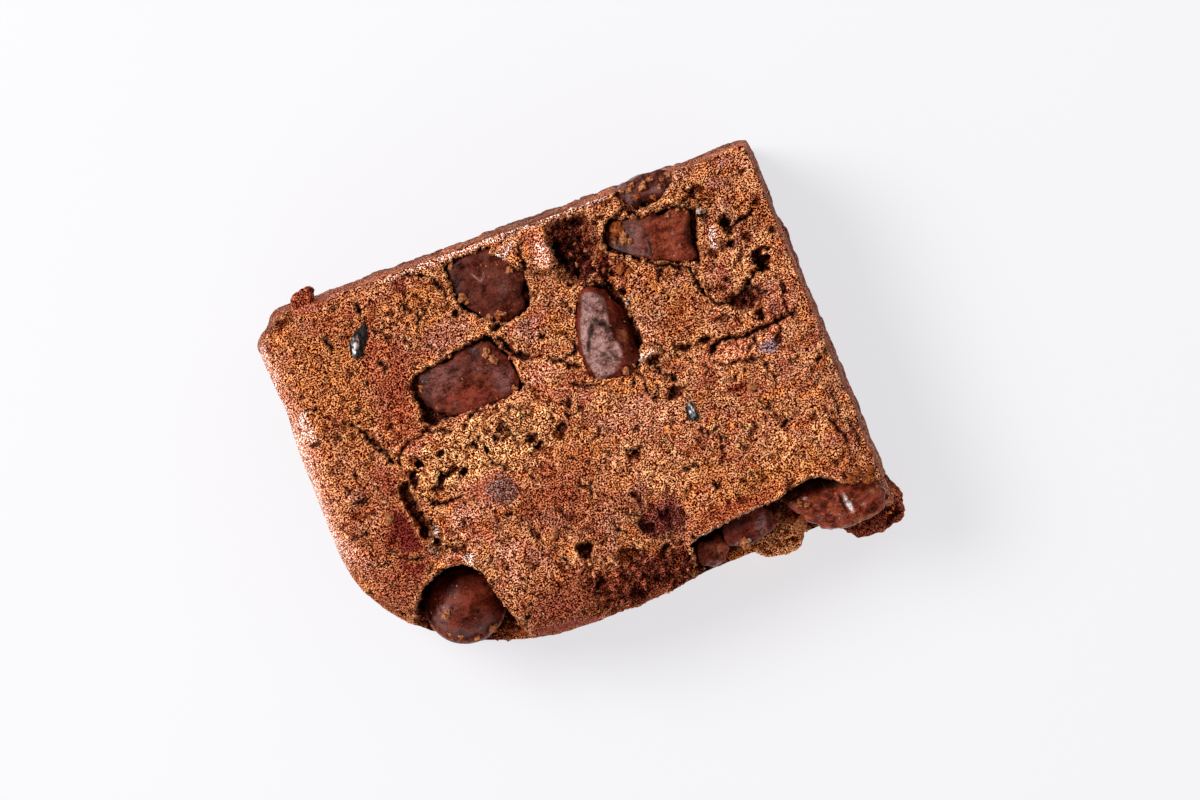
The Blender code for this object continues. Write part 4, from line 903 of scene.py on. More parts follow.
def outline_depth(x, y, outline, margin=2.5):
    """How far inside a smooth closed outline places are, below zero outside it."""
    steps = len(outline) * 5
    line = np.array([on_outline(outline, i / steps) for i in range(steps + 1)])
    depth = np.full(len(x), -margin)
    near = near_box(x, y, line, margin)
    if near.any():
        distance = nearest_on_line(x[near], y[near], line)[0]
        depth[near] = np.where(inside_outline(x[near], y[near], line), distance, -distance)
    return depth


def plain(colour, count):
    """One screen colour for so many places."""
    return np.tile(linear(colour), (count, 1))


def blend(tint, colour, share):
    """Mixes a colour into the colours of all the places, by a share for each."""
    tint += (colour - tint) * share[:, None]


def paint(x, y, tint, zones, colours, seed, grain=None):
    """Paints zones with soft, uneven edges over the colours, and sets how much grain each zone keeps."""
    stir_x, stir_y = layered(x, y, ZONE_STIR, seed), layered(x, y, ZONE_STIR, seed + 2)
    for (cx, cy), (rx, ry), turn, colour, strength, *left in zones:
        stir = min(1.0, min(rx, ry) / FULL_STIR_RADIUS)
        along, across = turned(x + stir * stir_x - cx, y + stir * stir_y - cy, turn)
        share = strength * (1 - smoothstep((np.hypot(along / rx, across / ry) - ZONE_CORE) / ZONE_FADE))
        blend(tint, linear(colours[colour]), share)
        if left:
            grain += (left[0] - grain) * share / strength


def positions(mesh):
    points = np.empty(len(mesh.vertices) * 3, np.float32)
    mesh.vertices.foreach_get("co", points)
    return points.reshape(-1, 3).astype(float)


def set_positions(mesh, points):
    mesh.vertices.foreach_set("co", points.astype(np.float32).ravel())
    mesh.update()


def normals(mesh):
    found = np.empty(len(mesh.vertices) * 3, np.float32)
    mesh.vertex_normals.foreach_get("vector", found)
    return found.reshape(-1, 3).astype(float)


def store_colour(mesh, tint):
    """Keeps one colour for each vertex, which the materials read."""
    layer = mesh.color_attributes.new("tint", "FLOAT_COLOR", "POINT")
    layer.data.foreach_set("color", np.column_stack((tint, np.ones(len(tint)))).astype(np.float32).ravel())


def store_number(mesh, name, values):
    layer = mesh.attributes.new(name, "FLOAT", "POINT")
    layer.data.foreach_set("value", values.astype(np.float32))


def add_piece(name, mesh, material, slot, *nodes, smooth=True):
    """Finishes a mesh in millimetres as a piece of the brownie."""
    mesh.transform(Matrix.Scale(MM, 4))
    mesh.materials.append(material)
    if smooth:
        mesh.shade_smooth()
    piece = bpy.data.objects.new(name, mesh)
    bpy.context.scene.collection.objects.link(piece)
    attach(piece, BODY)
    if nodes:
        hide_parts(*nodes)
    return piece


def mesh_from(name, bm):
    mesh = bpy.data.meshes.new(name)
    bm.to_mesh(mesh)
    bm.free()
    return mesh


class Tree:
    """The node tree of a new material, with short ways to add nodes and join them."""

    def __init__(self, name, roughness, specular):
        self.material = bpy.data.materials.new(name)
        self.material.use_nodes = True
        self.nodes = self.material.node_tree.nodes
        self.shader = self.nodes["Principled BSDF"]
        self.shader.inputs["Roughness"].default_value = roughness
        self.shader.inputs["Specular IOR Level"].default_value = specular
        self.place = self.scaled(self.nodes.new("ShaderNodeTexCoord").outputs["Object"], 1.0 / MM)

    def join(self, source, socket):
        self.material.node_tree.links.new(source, socket)

    def finish(self, colour):
        self.join(colour, self.shader.inputs["Base Color"])
        return self.material

    def fill(self, socket, value):
        if isinstance(value, bpy.types.NodeSocket):
            self.join(value, socket)
        else:
            socket.default_value = value

    def math(self, operation, first, second, kind="ShaderNodeMath"):
        node = self.nodes.new(kind)
        node.operation = operation
        self.fill(node.inputs[0], first)
        self.fill(node.inputs[1], second)
        return node.outputs[0]

    def times(self, first, second):
        """Two vectors or colours, multiplied part by part."""
        return self.math("MULTIPLY", first, second, kind="ShaderNodeVectorMath")

    def scaled(self, vector, scale):
        node = self.nodes.new("ShaderNodeVectorMath")
        node.operation = "SCALE"
        self.join(vector, node.inputs[0])
        node.inputs["Scale"].default_value = scale
        return node.outputs[0]

    def total(self, *parts):
        """The sum of values, each with its weight."""
        weighted = [self.math("MULTIPLY", value, weight) for value, weight in parts]
        found = weighted[0]
        for value in weighted[1:]:
            found = self.math("ADD", found, value)
        return found

    def noise(self, grain, detail, roughness, stretch=None):
        """Noise whose grains are so many millimetres across."""
        node = self.nodes.new("ShaderNodeTexNoise")
        self.join(self.times(self.place, stretch) if stretch else self.place, node.inputs["Vector"])
        node.inputs["Scale"].default_value = 1.0 / grain
        node.inputs["Detail"].default_value = detail
        node.inputs["Roughness"].default_value = roughness
        return node.outputs["Fac"]

    def specks(self, size, cloud, low, high):
        """Round specks, scattered so many millimetres apart, where a cloud is high."""
        node = self.nodes.new("ShaderNodeTexVoronoi")
        self.join(self.place, node.inputs["Vector"])
        node.inputs["Scale"].default_value = 1.0 / size
        speck = self.span(node.outputs["Distance"], 0.1, 0.06)
        return self.math("MULTIPLY", speck, self.span(cloud, low, high))

    def span(self, value, low, high, to_low=0.0, to_high=1.0):
        node = self.nodes.new("ShaderNodeMapRange")
        node.interpolation_type = "SMOOTHSTEP"
        for name, number in (("From Min", low), ("From Max", high), ("To Min", to_low), ("To Max", to_high)):
            node.inputs[name].default_value = number
        self.join(value, node.inputs["Value"])
        return node.outputs["Result"]

    def ramp(self, value, stops):
        node = self.nodes.new("ShaderNodeValToRGB")
        elements = node.color_ramp.elements
        while len(elements) < len(stops):
            elements.new(0.5)
        for element, (place, colour) in zip(elements, stops):
            element.position = place
            element.color = (*colour, 1.0)
        self.join(value, node.inputs["Fac"])
        return node.outputs["Color"]

    def mix(self, share, first, colour):
        """A colour under a chocolate colour that covers a share of it."""
        node = self.nodes.new("ShaderNodeMix")
        node.data_type = "RGBA"
        self.join(share, node.inputs[0])
        self.join(first, node.inputs[6])
        node.inputs[7].default_value = (*linear(CHOCOLATE_COLOURS[colour]), 1.0)
        return node.outputs[2]

    def attribute(self, name, output="Fac"):
        node = self.nodes.new("ShaderNodeAttribute")
        node.attribute_name = name
        return node.outputs[output]

    def tint(self, scale):
        """The colour kept with the mesh, made brighter."""
        return self.scaled(self.attribute("tint", "Color"), scale)

    def bump(self, height, depth):
        """Relief of so many millimetres."""
        node = self.nodes.new("ShaderNodeBump")
        node.inputs["Distance"].default_value = depth * MM
        self.join(height, node.inputs["Height"])
        self.join(node.outputs["Normal"], self.shader.inputs["Normal"])


def crust_material(settings):
    """Dry crust: toasted grains over darker, redder hollows between them."""
    tree = Tree("crust", 0.75, 0.02)
    size = settings.grain_size / MM
    height = tree.total((tree.noise(size, 1.0, 0.5), 1.5), (tree.noise(size * 2.4, 2.0, 0.6), 0.16),
                        (tree.noise(size * 9.0, 3.0, 0.6), 0.1))
    grain = tree.attribute("grain")
    level = tree.math("ADD", 0.5, tree.math("MULTIPLY", grain, tree.math("SUBTRACT", height, GRAIN_MIDDLE)))
    stops = [(place, [share / GRAIN_SCALE for share in shares]) for place, shares in GRAIN_SHADES]
    tree.join(tree.span(grain, 0.3, 1.0, 0.5, 0.8), tree.shader.inputs["Roughness"])
    tree.bump(level, settings.grain_relief / MM)
    return tree.finish(tree.times(tree.tint(GRAIN_SCALE), tree.ramp(level, stops)))


def chocolate_material(settings):
    """Dark chocolate with an uneven cloudy skin, fine scratches, a dust of crumb and specks of painted glint.
    """
    tree = Tree("chocolate", settings.roughness, 0.14)
    cloud = tree.noise(1.5, 4.0, 0.65)
    scratch = tree.noise(0.5, 3.0, 0.7, (0.35, 1.0, 1.0))
    level = tree.total((cloud, 0.45), (tree.noise(0.22, 2.0, 0.6), 0.3), (scratch, 0.25))
    colour = tree.times(tree.tint(2.0), tree.ramp(level, CHOCOLATE_SHADES))
    colour = tree.mix(tree.specks(0.9, cloud, 0.5, 0.58), colour, "dust")
    colour = tree.mix(tree.specks(0.7, scratch, 0.56, 0.62), colour, "glint")
    low, high = settings.roughness - BLOOM_ROUGHNESS, settings.roughness + BLOOM_ROUGHNESS
    tree.join(tree.span(cloud, 0.35, 0.65, low, high), tree.shader.inputs["Roughness"])
    tree.bump(level, 0.2)
    return tree.finish(colour)


def flake_material():
    """Black, brittle and glossy, with pale streaks of painted glint along one side."""
    tree = Tree("burnt flake", 0.4, 0.2)
    streak = tree.noise(0.3, 2.0, 0.6, (1.0, 0.45, 1.0))
    tree.bump(streak, 0.15)
    return tree.finish(tree.times(tree.tint(1.6), tree.ramp(streak, FLAKE_SHADES)))


def crumb_material(name, low, high, roughness):
    """Loose crumb, each piece a little lighter or darker."""
    tree = Tree(name, roughness, 0.1)
    tree.bump(tree.noise(0.3, 2.0, 0.6), 0.1)
    return tree.finish(tree.ramp(tree.noise(0.35, 3.0, 0.7), ((0.4, linear(low)), (0.6, linear(high)))))


def grid_lines(low, high, roll, detail, gap, wide_gap):
    """Places of the grid lines across the body: by equal turns where the baked edge rolls over, then wide
    apart, and closer where there is much detail."""
    turn = np.linspace(math.pi / 2, 0, round(1.5 * roll / wide_gap) + 1)
    parts = [low + roll * (1 - np.sin(turn))]
    stops = (low + roll, *detail, high)
    for i, spacing in enumerate((wide_gap, gap, wide_gap)):
        cells = max(1, round((stops[i + 1] - stops[i]) / spacing))
        parts.append(np.linspace(stops[i], stops[i + 1], cells + 1)[1:])
    return np.concatenate(parts)


def body_shell(lines_x, lines_y, rings):
    """A closed mesh: a grid over the crust, rings down the wall, and a fan underneath. Each vertex keeps its
    ring, 0 on the crust, and the rim vertex that it hangs below."""
    bm = bmesh.new()
    cells_x, cells_y = len(lines_x) - 1, len(lines_y) - 1
    bmesh.ops.create_grid(bm, x_segments=cells_x, y_segments=cells_y, size=0.5)
    ring = bm.verts.layers.int.new("ring")
    rim = bm.verts.layers.int.new("rim")
    for i, vert in enumerate(bm.verts):
        vert[rim] = i
        vert.co.x = lines_x[round((vert.co.x + 0.5) * cells_x)]
        vert.co.y = lines_y[round((vert.co.y + 0.5) * cells_y)]
    edges = [edge for edge in bm.edges if edge.is_boundary]
    for level in range(1, rings + 1):
        made = bmesh.ops.extrude_edge_only(bm, edges=edges)["geom"]
        edges = [item for item in made if isinstance(item, bmesh.types.BMEdge) and item.is_boundary]
        for item in made:
            if isinstance(item, bmesh.types.BMVert):
                item[ring] = level
                item.co.z -= level
    underside = bmesh.ops.contextual_create(bm, geom=edges)["faces"]
    centre = bmesh.ops.poke(bm, faces=underside)["verts"]
    for vert in centre:
        vert[ring] = rings + 1
    bmesh.ops.recalc_face_normals(bm, faces=bm.faces)
    return mesh_from("brownie_crumb", bm)


def numbers(mesh, name):
    found = np.empty(len(mesh.vertices), np.int32)
    mesh.attributes[name].data.foreach_get("value", found)
    return found


class Crust:
    """The places of the crust's vertices, in millimetres, with how far each lies in a hollow, which gets
    painted shade, and how far on a raised lip, which gets painted highlight.
    """

    def __init__(self, x, y, settings):
        self.x, self.y = x, y
        self.z = crust_height(x, y)
        self.hollow = np.zeros(len(x))
        self.lip = np.zeros(len(x))
        self.torn = np.zeros(len(x))
        ragged = settings.raggedness / MM
        self.wall = settings.hollow_wall / MM
        self.rough = layered(x, y, FLOOR_LAYERS, 11.0)
        self.stir_x = x + ragged * layered(x, y, WANDER_LAYERS, 5.0)
        self.stir_y = y + ragged * layered(x, y, WANDER_LAYERS, 7.0)

    def sink(self, outline, floor, lip, inset, soft=1.0, stir=1.0):
        """Lowers the crust inside an outline to a rough floor, and lifts its lip a little. The hollow is
        marked for painted shade and the lip for painted highlight.
        """
        x, y = self.x + stir * (self.stir_x - self.x), self.y + stir * (self.stir_y - self.y)
        depth = outline_depth(x, y, outline) - inset
        into = smoothstep(0.5 + depth / (soft * self.wall))
        level = self.z + (floor + 0.7 * self.rough - self.z) * into
        self.z = np.where(into > 0, np.minimum(self.z, level), self.z)
        self.hollow = np.maximum(self.hollow, into)
        edge = np.exp(-((depth + 0.45) / 0.35) ** 2) * (1 - into)
        self.z += lip * edge
        self.lip = np.maximum(self.lip, edge)

    def crack(self, points, width, depth):
        """A groove along a line, marked for painted shade, with its edges marked for painted highlight. The
        vertices next to the line are drawn onto it, so that it stays sharp.
        """
        line = np.array(points)
        near = np.flatnonzero(near_box(self.x, self.y, line, 1.5))
        if not len(near):
            return
        distance, px, py, share = nearest_on_line(self.stir_x[near], self.stir_y[near], line)
        narrow = np.clip(np.minimum(share, 1 - share) * 5 + 0.35, 0, 1)
        pull = 1 - smoothstep((distance - 0.1) / 0.22)
        self.x[near] += (px - self.stir_x[near]) * pull
        self.y[near] += (py - self.stir_y[near]) * pull
        gap = np.maximum(distance - 0.12, 0) * (1 - pull)
        half = max(0.5 * width - 0.13, 0.03) * narrow
        into = np.clip(1 - gap / (half + 0.14), 0, 1) * narrow
        self.z[near] -= depth * into
        self.hollow[near] = np.maximum(self.hollow[near], smoothstep(into * 1.3))
        edge = np.exp(-((distance - half - 0.4) / 0.3) ** 2) * narrow * (1 - into)
        self.z[near] += 0.1 * edge
        self.lip[near] = np.maximum(self.lip[near], edge)

    def pit(self, middle, radii, turn, depth):
        """A small round hole, marked for painted shade, with a ring round it marked for painted highlight."""
        near = np.flatnonzero(near_box(self.x, self.y, np.array((middle, middle)), 3.0))
        along, across = turned(self.stir_x[near] - middle[0], self.stir_y[near] - middle[1], turn)
        out = np.hypot(along / radii[0], across / radii[1])
        into = 1 - smoothstep((out - 0.75) / 0.5)
        self.z[near] -= depth * into
        self.hollow[near] = np.maximum(self.hollow[near], into)
        self.lip[near] = np.maximum(self.lip[near], 0.8 * np.exp(-((out - 1.6) / 0.35) ** 2))

    def tear(self, outline, depth, porosity):
        """Sinks the crust a little inside an outline and makes it porous."""
        into = smoothstep(0.5 + outline_depth(self.stir_x, self.stir_y, outline) / 0.9)
        self.z -= into * depth * (1 + 1.5 * self.rough)
        self.torn = np.maximum(self.torn, porosity * into)

    def lift(self, outline, rise):
        """Raises a flake of crust, with a groove and a line of painted shadow under its edge, and its rim
        marked for painted highlight.
        """
        depth = outline_depth(self.stir_x, self.stir_y, outline)
        share = smoothstep(0.5 + depth / 0.45)
        self.z += rise * share
        edge = np.exp(-((depth - 0.2) / 0.3) ** 2)
        self.lip = np.maximum(self.lip, edge)
        under = np.exp(-((depth + 0.35) / 0.22) ** 2)
        self.hollow = np.maximum(self.hollow, 0.6 * under)
        self.z -= 0.25 * under


def scattered_cracks(settings):
    """Short cracks and small pits that only have to lie somewhere on the crust."""
    draw = random.Random(settings.crack_seed)
    cracks, pits = [], []
    for _ in range(settings.small_cracks):
        x, y = draw.uniform(WEST + 4, EAST - 3), draw.uniform(SOUTH + 8, NORTH - 3)
        heading, step = draw.uniform(0, math.tau), draw.uniform(*CRACK_STEP)
        points = [(x, y)]
        for _ in range(draw.randint(*CRACK_STEPS)):
            heading += draw.gauss(0, CRACK_BEND)
            x, y = x + step * math.cos(heading), y + step * math.sin(heading)
            points.append((x, y))
        cracks.append((points, draw.uniform(*CRACK_WIDTH), draw.uniform(*CRACK_DEPTH)))
    for _ in range(settings.small_pits):
        place = draw.uniform(WEST + 2, EAST - 1.5), draw.uniform(SOUTH + 4, NORTH - 1.5)
        radii = [draw.uniform(*limits) for limits in PIT_RADII]
        pits.append((place, radii, draw.uniform(0, 180), SMALL_PIT_DEPTH))
    return cracks, pits


def shape_crust(x, y, settings):
    """The crust with its flakes, hollows, torn patches, pits, cracks and breaks."""
    crust = Crust(x, y, settings)
    for outline, rise in CRUST_FLAKES.values():
        crust.lift(outline, rise)
    for name, (outline, depth) in HOLLOWS.items():
        soft = SOFT_HOLLOWS.get(name, 1.0)
        inset = settings.hollow_inset / MM if "chunk" in name or name == "west_gap" else 0.0
        crust.sink(outline, level_at(outline) - depth, lip=HOLLOW_LIP / soft, soft=soft, inset=inset)
    for torn in TORN.values():
        crust.tear(*torn)
    small_cracks, small_pits = scattered_cracks(settings)
    for hole in (*PITS, *small_pits):
        crust.pit(*hole)
    for points, width, depth in (*CRACKS.values(), *HAIRLINES, *small_cracks):
        crust.crack(points, width, depth)
    for outline, floor, edge in BREAKS:
        crust.sink(outline, floor, **edge)
    for outline, top, thick, slope in CHUNKS.values():
        into = (outline_depth(crust.x, crust.y, outline) > 0.2) & (crust.y < NORTH_RIM)
        crust.z = np.where(into, np.minimum(crust.z, top - thick * 0.6), crust.z)
    return crust


def shape_wall(points, ring, rim, rings, away):
    """Places the rings of the wall below the finished rim of the crust."""
    wall = (ring > 0) & (ring <= rings)
    source = rim[wall]
    share = ring[wall] / rings
    start = points[source]
    cut = cut_share(start[:, 0], start[:, 1])
    middle = np.sin(math.pi * share)
    flare = CUT_FLARE * smoothstep(share * FLARE_RATE)
    bulge = BAKED_BULGE * middle - BAKED_LEAN * share
    reach = cut * flare + (1 - cut) * bulge - FOOT_TUCK * smoothstep((share - FOOT_FROM) / (1 - FOOT_FROM))
    wander = start * 0.3
    wander[:, 2] += 4 * share
    reach += WALL_ROUGHNESS * middle * space_field(wander, 1.0, 0.0)
    points[wall, :2] = start[:, :2] + away[source] * reach[:, None]
    points[wall, 2] = start[:, 2] * (1 - share)
    return wall, share, cut


def rim_directions(mesh, ring, rim, points):
    """The level direction away from the body at each rim vertex, smoothed along the rim."""
    ends = np.empty(len(mesh.edges) * 2, np.int32)
    mesh.edges.foreach_get("vertices", ends)
    ends = ends.reshape(-1, 2)
    below = ends[(ring[ends[:, 0]] == 1) & (ring[ends[:, 1]] == 1)]
    joined = {}
    for a, b in rim[below].tolist():
        joined.setdefault(a, []).append(b)
        joined.setdefault(b, []).append(a)
    start = next(iter(joined))
    order = [start, joined[start][0]]
    while len(order) < len(joined):
        one, two = joined[order[-1]]
        order.append(two if one == order[-2] else one)
    order = np.array(order)
    loop = points[order, :2]
    run = np.roll(loop, -3, axis=0) - np.roll(loop, 3, axis=0)
    side = np.column_stack((run[:, 1], -run[:, 0]))
    side /= np.linalg.norm(side, axis=1)[:, None]
    if (side * loop).sum() < 0:
        side = -side
    away = np.zeros((len(points), 2))
    away[order] = side
    return away


def mottle(x, y, tint):
    """Paints patches a few millimetres wide, tanner, redder or smooth and mauve, and gives the grain left."""
    warm = layered(x, y, ((2.6, 1.0), (1.1, 0.6)), 43.0)
    patch = layered(x, y, ((3.4, 1.0), (1.3, 0.4)), 45.0)
    other = layered(x, y, ((1.9, 1.0), (0.8, 0.6)), 47.0)
    wide = field(x, y, 7.0, 49.0)
    for colour, strength, cloud, start, run in (
            ("amber", 0.5, wide, 0.0, 0.3), ("tan", 0.4, warm, 0.05, 0.4),
            ("red_brown", 0.7, -warm, 0.05, 0.4), ("orange", 0.6, other, 0.15, 0.3),
            ("pink", 0.2, -other, 0.25, 0.3)):
        blend(tint, linear(CRUST_COLOURS[colour]), strength * smoothstep((cloud - start) / run))
    smooth = smoothstep((patch - 0.15) / 0.25)
    blend(tint, linear(CRUST_COLOURS["mauve"]), 0.5 * smooth)
    return (1 - 0.5 * smooth) * (1 + 0.4 * field(x, y, 1.5, 51.0))


def paint_body(points, wall, share, cut, crust, ring):
    """Colour and grain of the body, from zones on the crust and bands down the sides, with painted shade
    in the hollows, cracks and pits and on the south roll, and painted highlight on the lips and the west
    roll.
    """
    count = len(points)
    x, y = points[:, 0], points[:, 1]
    shades = {name: linear(colour) for name, colour in CRUST_COLOURS.items()}
    tint = plain(CRUST_COLOURS["golden"], count)
    grain = mottle(x, y, tint)
    paint(x, y, tint, CRUST_ZONES, CRUST_COLOURS, 31.0, grain)
    inward, south = baked_distance(x, y)
    # Painted shade: the rolled edge that faces south, away from the light, is darkened, partly also for its
    # redder crust
    roll_shade_share = smoothstep(1 - inward / SOUTH_ROLL[0]) * south * 0.55
    roll_shade_share[ring > 0] = 0
    blend(tint, shades["roll"], roll_shade_share)

    down = np.zeros(count)
    down[wall] = share
    cutting = np.zeros(count)
    cutting[wall] = cut
    fibre = space_field(points * (0.12, 0.12, 0.5), 1.0, 3.0)
    fibre += 0.6 * space_field(points * (0.4, 0.4, 1.6), 1.0, 6.0)
    stirred = down + 0.1 * fibre
    near_rim = 1 - smoothstep((stirred - 0.1) / 0.45)
    side = shades["crumb"] + (shades["torn"] - shades["crumb"]) * near_rim[:, None]
    side *= (np.exp(0.7 * fibre) * (1 - 0.7 * np.exp(-((down + 0.04 * fibre - 0.09) / 0.05) ** 2)))[:, None]
    blend(tint, side, cutting * smoothstep(down / 0.02))
    blend(tint, shades["lower_side"], (1 - cutting) * smoothstep((stirred + 0.05) / 0.3) * (down > 0))
    grain[wall] = WALL_GRAIN

    # Painted shade in the hollows, cracks and pits, less of it near the outer baked edge, with specks of
    # red-brown crumb
    hollow = np.zeros(count)
    hollow[ring == 0] = crust.hollow
    hollow *= 1 - 0.8 * (1 - smoothstep((inward - 0.9) / 1.3))
    lip = np.zeros(count)
    lip[ring == 0] = crust.lip
    bits = smoothstep((space_field(points, 0.9, 9.0) - 0.05) / 0.3)[:, None]
    floor = shades["hollow"] + (shades["red_brown"] - shades["hollow"]) * 0.6 * bits
    blend(tint, floor, 0.95 * smoothstep((hollow - 0.25) / 0.45))
    # Painted highlight: the raised lips of hollows, cracks and flakes are lightened towards a toasted tan
    blend(tint, shades["tan"], 0.45 * (lip * (1 - hollow)))
    paint(x, y, tint, FLOOR_ZONES, CRUST_COLOURS, 37.0, grain)
    return tint, grain


def displace(mesh, points, wall_share, torn, tint, grain, settings):
    """Moves the surface in and out by its crumb texture, paints shade into its crevices, pits and holes, and
    lightens its tops.
    """
    set_positions(mesh, points)
    out = normals(mesh)
    broad = space_field(points, 1.9, 50.0)
    clump = space_field(points, 0.95, 60.0)
    fine = space_field(points, 0.45, 70.0)
    seam = np.abs(space_field(points, 2.1, 75.0) + 0.3 * clump)
    crevice = 1 - smoothstep(seam / (0.07 + 0.06 * torn))
    crevice *= smoothstep((space_field(points, 4.0, 76.0) - 0.12 + 0.5 * torn) / 0.12)
    pit = smoothstep((space_field(points, 0.8, 80.0) + 0.2 * fine - 0.42 + 0.22 * torn) / 0.1)
    hole = smoothstep((space_field(points, 2.2, 85.0) + 0.35 * clump - 0.56 + 0.2 * torn) / 0.07)
    parts = {"broad": broad, "clump": clump, "fine": fine, "crevice": crevice, "pit": pit, "hole": hole}
    height, tone_and_shade = np.zeros(len(points)), np.zeros(len(points))
    for name, (move, lighten) in TEXTURE.items():
        torn_move, torn_lighten = TORN_TEXTURE.get(name, (0.0, 0.0))
        height += (move + torn_move * torn) * parts[name]
        tone_and_shade += (lighten + torn_lighten * torn) * parts[name]
    height *= settings.relief * np.clip(grain, 0.25, 1.2)
    height += wall_share * (0.2 * space_field(points, 3.4, 90.0) + 0.12 * broad)
    height -= wall_share * 0.45 * smoothstep((space_field(points, 2.1, 95.0) - 0.25) / 0.15)
    height *= np.clip(points[:, 2] / 1.5, 0, 1)
    set_positions(mesh, points + out * height[:, None])
    tone_and_shade = (tone_and_shade * np.clip(grain, 0.2, 1.2))[:, None]
    tone_and_shade = tone_and_shade * np.where(tone_and_shade > 0, LIGHT_SPREAD, DARK_SPREAD)
    return np.clip(settings.gain * tint * np.exp(tone_and_shade), 0.0015, 0.9)


def gap_share(gaps, angle):
    """How far a direction lies in one of the gaps beside a chunk: 0 outside them, and 1 in the middle."""
    shares = [0.0]
    for direction, half in gaps:
        off = abs((math.degrees(angle) - direction + 180) % 360 - 180)
        shares.append(2 * (1 - off / half))
    return float(smoothstep(max(shares)))


def shape_slab(bm, outline, top, thick, slope, sides, rings, growth=0.0, roundness=0.5, gaps=(), straight=0.0,
               fullness=0.5):
    """A slab with rounded edges over an outline: square towards the rim, and nearly flat on top."""
    middle = middle_of(outline)
    bmesh.ops.create_uvsphere(bm, u_segments=sides, v_segments=rings, radius=1.0)
    for vert in bm.verts:
        x, y, z = vert.co
        turn = math.atan2(y, x) / math.tau
        rim = on_outline(outline, turn).lerp(on_polygon(outline, turn), straight) - middle
        rim += growth * (1 - gap_share(gaps, math.atan2(rim.y, rim.x))) * rim.normalized()
        place = middle + rim * math.hypot(x, y) ** fullness
        lift = math.copysign(abs(z) ** roundness, z) * thick / 2
        fall = (place.x - middle.x) * slope[0] + (place.y - middle.y) * slope[1]
        vert.co = (place.x, place.y, top - thick / 2 + lift + fall)


def roughen(mesh, amounts, seed):
    """Moves a mesh in and out along its normals, one layer of noise for each wavelength and amount."""
    points = positions(mesh)
    out = normals(mesh)
    for layer, (wavelength, amount) in enumerate(amounts):
        points += out * (amount * space_field(points, wavelength, seed + layer))[:, None]
    set_positions(mesh, points)
    return points


def shape_chunk(name, settings):
    """One chunk of chocolate: a slab, cut by its facet, roughened and painted, with painted sheen, glints and
    shade among its colours.
    """
    outline, top, thick, slope = CHUNKS[name]
    bm = bmesh.new()
    shape_slab(bm, outline, top, thick, slope, settings.sides, settings.rings, settings.growth / MM,
               settings.roundness, CHUNK_GAPS[name], CHUNK_STRAIGHT, CHUNK_FULL)
    if name in CHUNK_FACETS:
        direction, edge, level, fall = CHUNK_FACETS[name]
        for vert in bm.verts:
            past = vert.co.xy.dot(Vector(direction)) - edge
            vert.co.z = min(vert.co.z, max(level - fall * past, top - thick * 0.55))
    bmesh.ops.recalc_face_normals(bm, faces=bm.faces)
    mesh = mesh_from(name + "_finish", bm)
    rough = CHUNK_ROUGHNESS.get(name, 1.0)
    layers = [CHUNK_FORM, *((wavelength, height * rough) for wavelength, height in CHUNK_LAYERS)]
    points = roughen(mesh, layers, sum(map(ord, name)) * 0.1)
    base, zones = CHUNK_PAINT[name]
    x, y = points[:, 0], points[:, 1]
    tint = plain(CHOCOLATE_COLOURS[base], len(points))
    for outline, colour, strength in CHUNK_FACES.get(name, ()):
        share = strength * smoothstep(0.5 + outline_depth(x, y, outline) / 0.3)
        blend(tint, linear(CHOCOLATE_COLOURS[colour]), share)
    paint(x, y, tint, zones, CHOCOLATE_COLOURS, 12.0)
    store_colour(mesh, tint)
    return mesh


def shape_drop(settings):
    """The turned chocolate drop, leaning so that its base shows on the south side."""
    bm = bmesh.new()
    rings = 3 * (len(DROP_RINGS) - 1)
    bmesh.ops.create_uvsphere(bm, u_segments=settings.sides, v_segments=rings, radius=1.0)
    profile = np.array(DROP_RINGS)
    steps = np.linspace(0, len(profile) - 1, rings + 1)
    radii = np.interp(steps, range(len(profile)), profile[:, 0])
    heights = np.interp(steps, range(len(profile)), profile[:, 1])
    for vert in bm.verts:
        ring = round(math.acos(max(-1.0, min(1.0, vert.co.z))) / math.pi * rings)
        angle = math.atan2(vert.co.y, vert.co.x)
        vert.co = (radii[ring] * math.cos(angle), radii[ring] * math.sin(angle), heights[ring])
    inner = [vert for vert in bm.verts if math.hypot(vert.co.x, vert.co.y) > 0.1]
    for _ in range(2):
        bmesh.ops.smooth_vert(bm, verts=inner, factor=0.5, use_axis_x=True, use_axis_y=True, use_axis_z=True)
    flare = {vert.index: smoothstep((-vert.co.z - 0.1) / 0.4) for vert in bm.verts}
    bmesh.ops.rotate(bm, verts=bm.verts, cent=(0, 0, 0), matrix=Matrix.Rotation(-DROP_LEAN, 3, "X"))
    bmesh.ops.translate(bm, verts=bm.verts, vec=DROP_CENTRE)
    bmesh.ops.recalc_face_normals(bm, faces=bm.faces)
    mesh = mesh_from("drop_southwest_finish", bm)
    points = roughen(mesh, DROP_LAYERS, 4.0)
    tint = plain(CHOCOLATE_COLOURS["drop"], len(points))
    paint(points[:, 0], points[:, 1], tint, DROP_ZONES, CHOCOLATE_COLOURS, 14.0)
    # Painted sheen on the base ring, where the drop flares out
    ring = np.array([float(flare[i]) for i in range(len(points))])
    blend(tint, linear(CHOCOLATE_COLOURS["pale_sheen"]), 0.5 * ring)
    store_colour(mesh, tint)
    return mesh


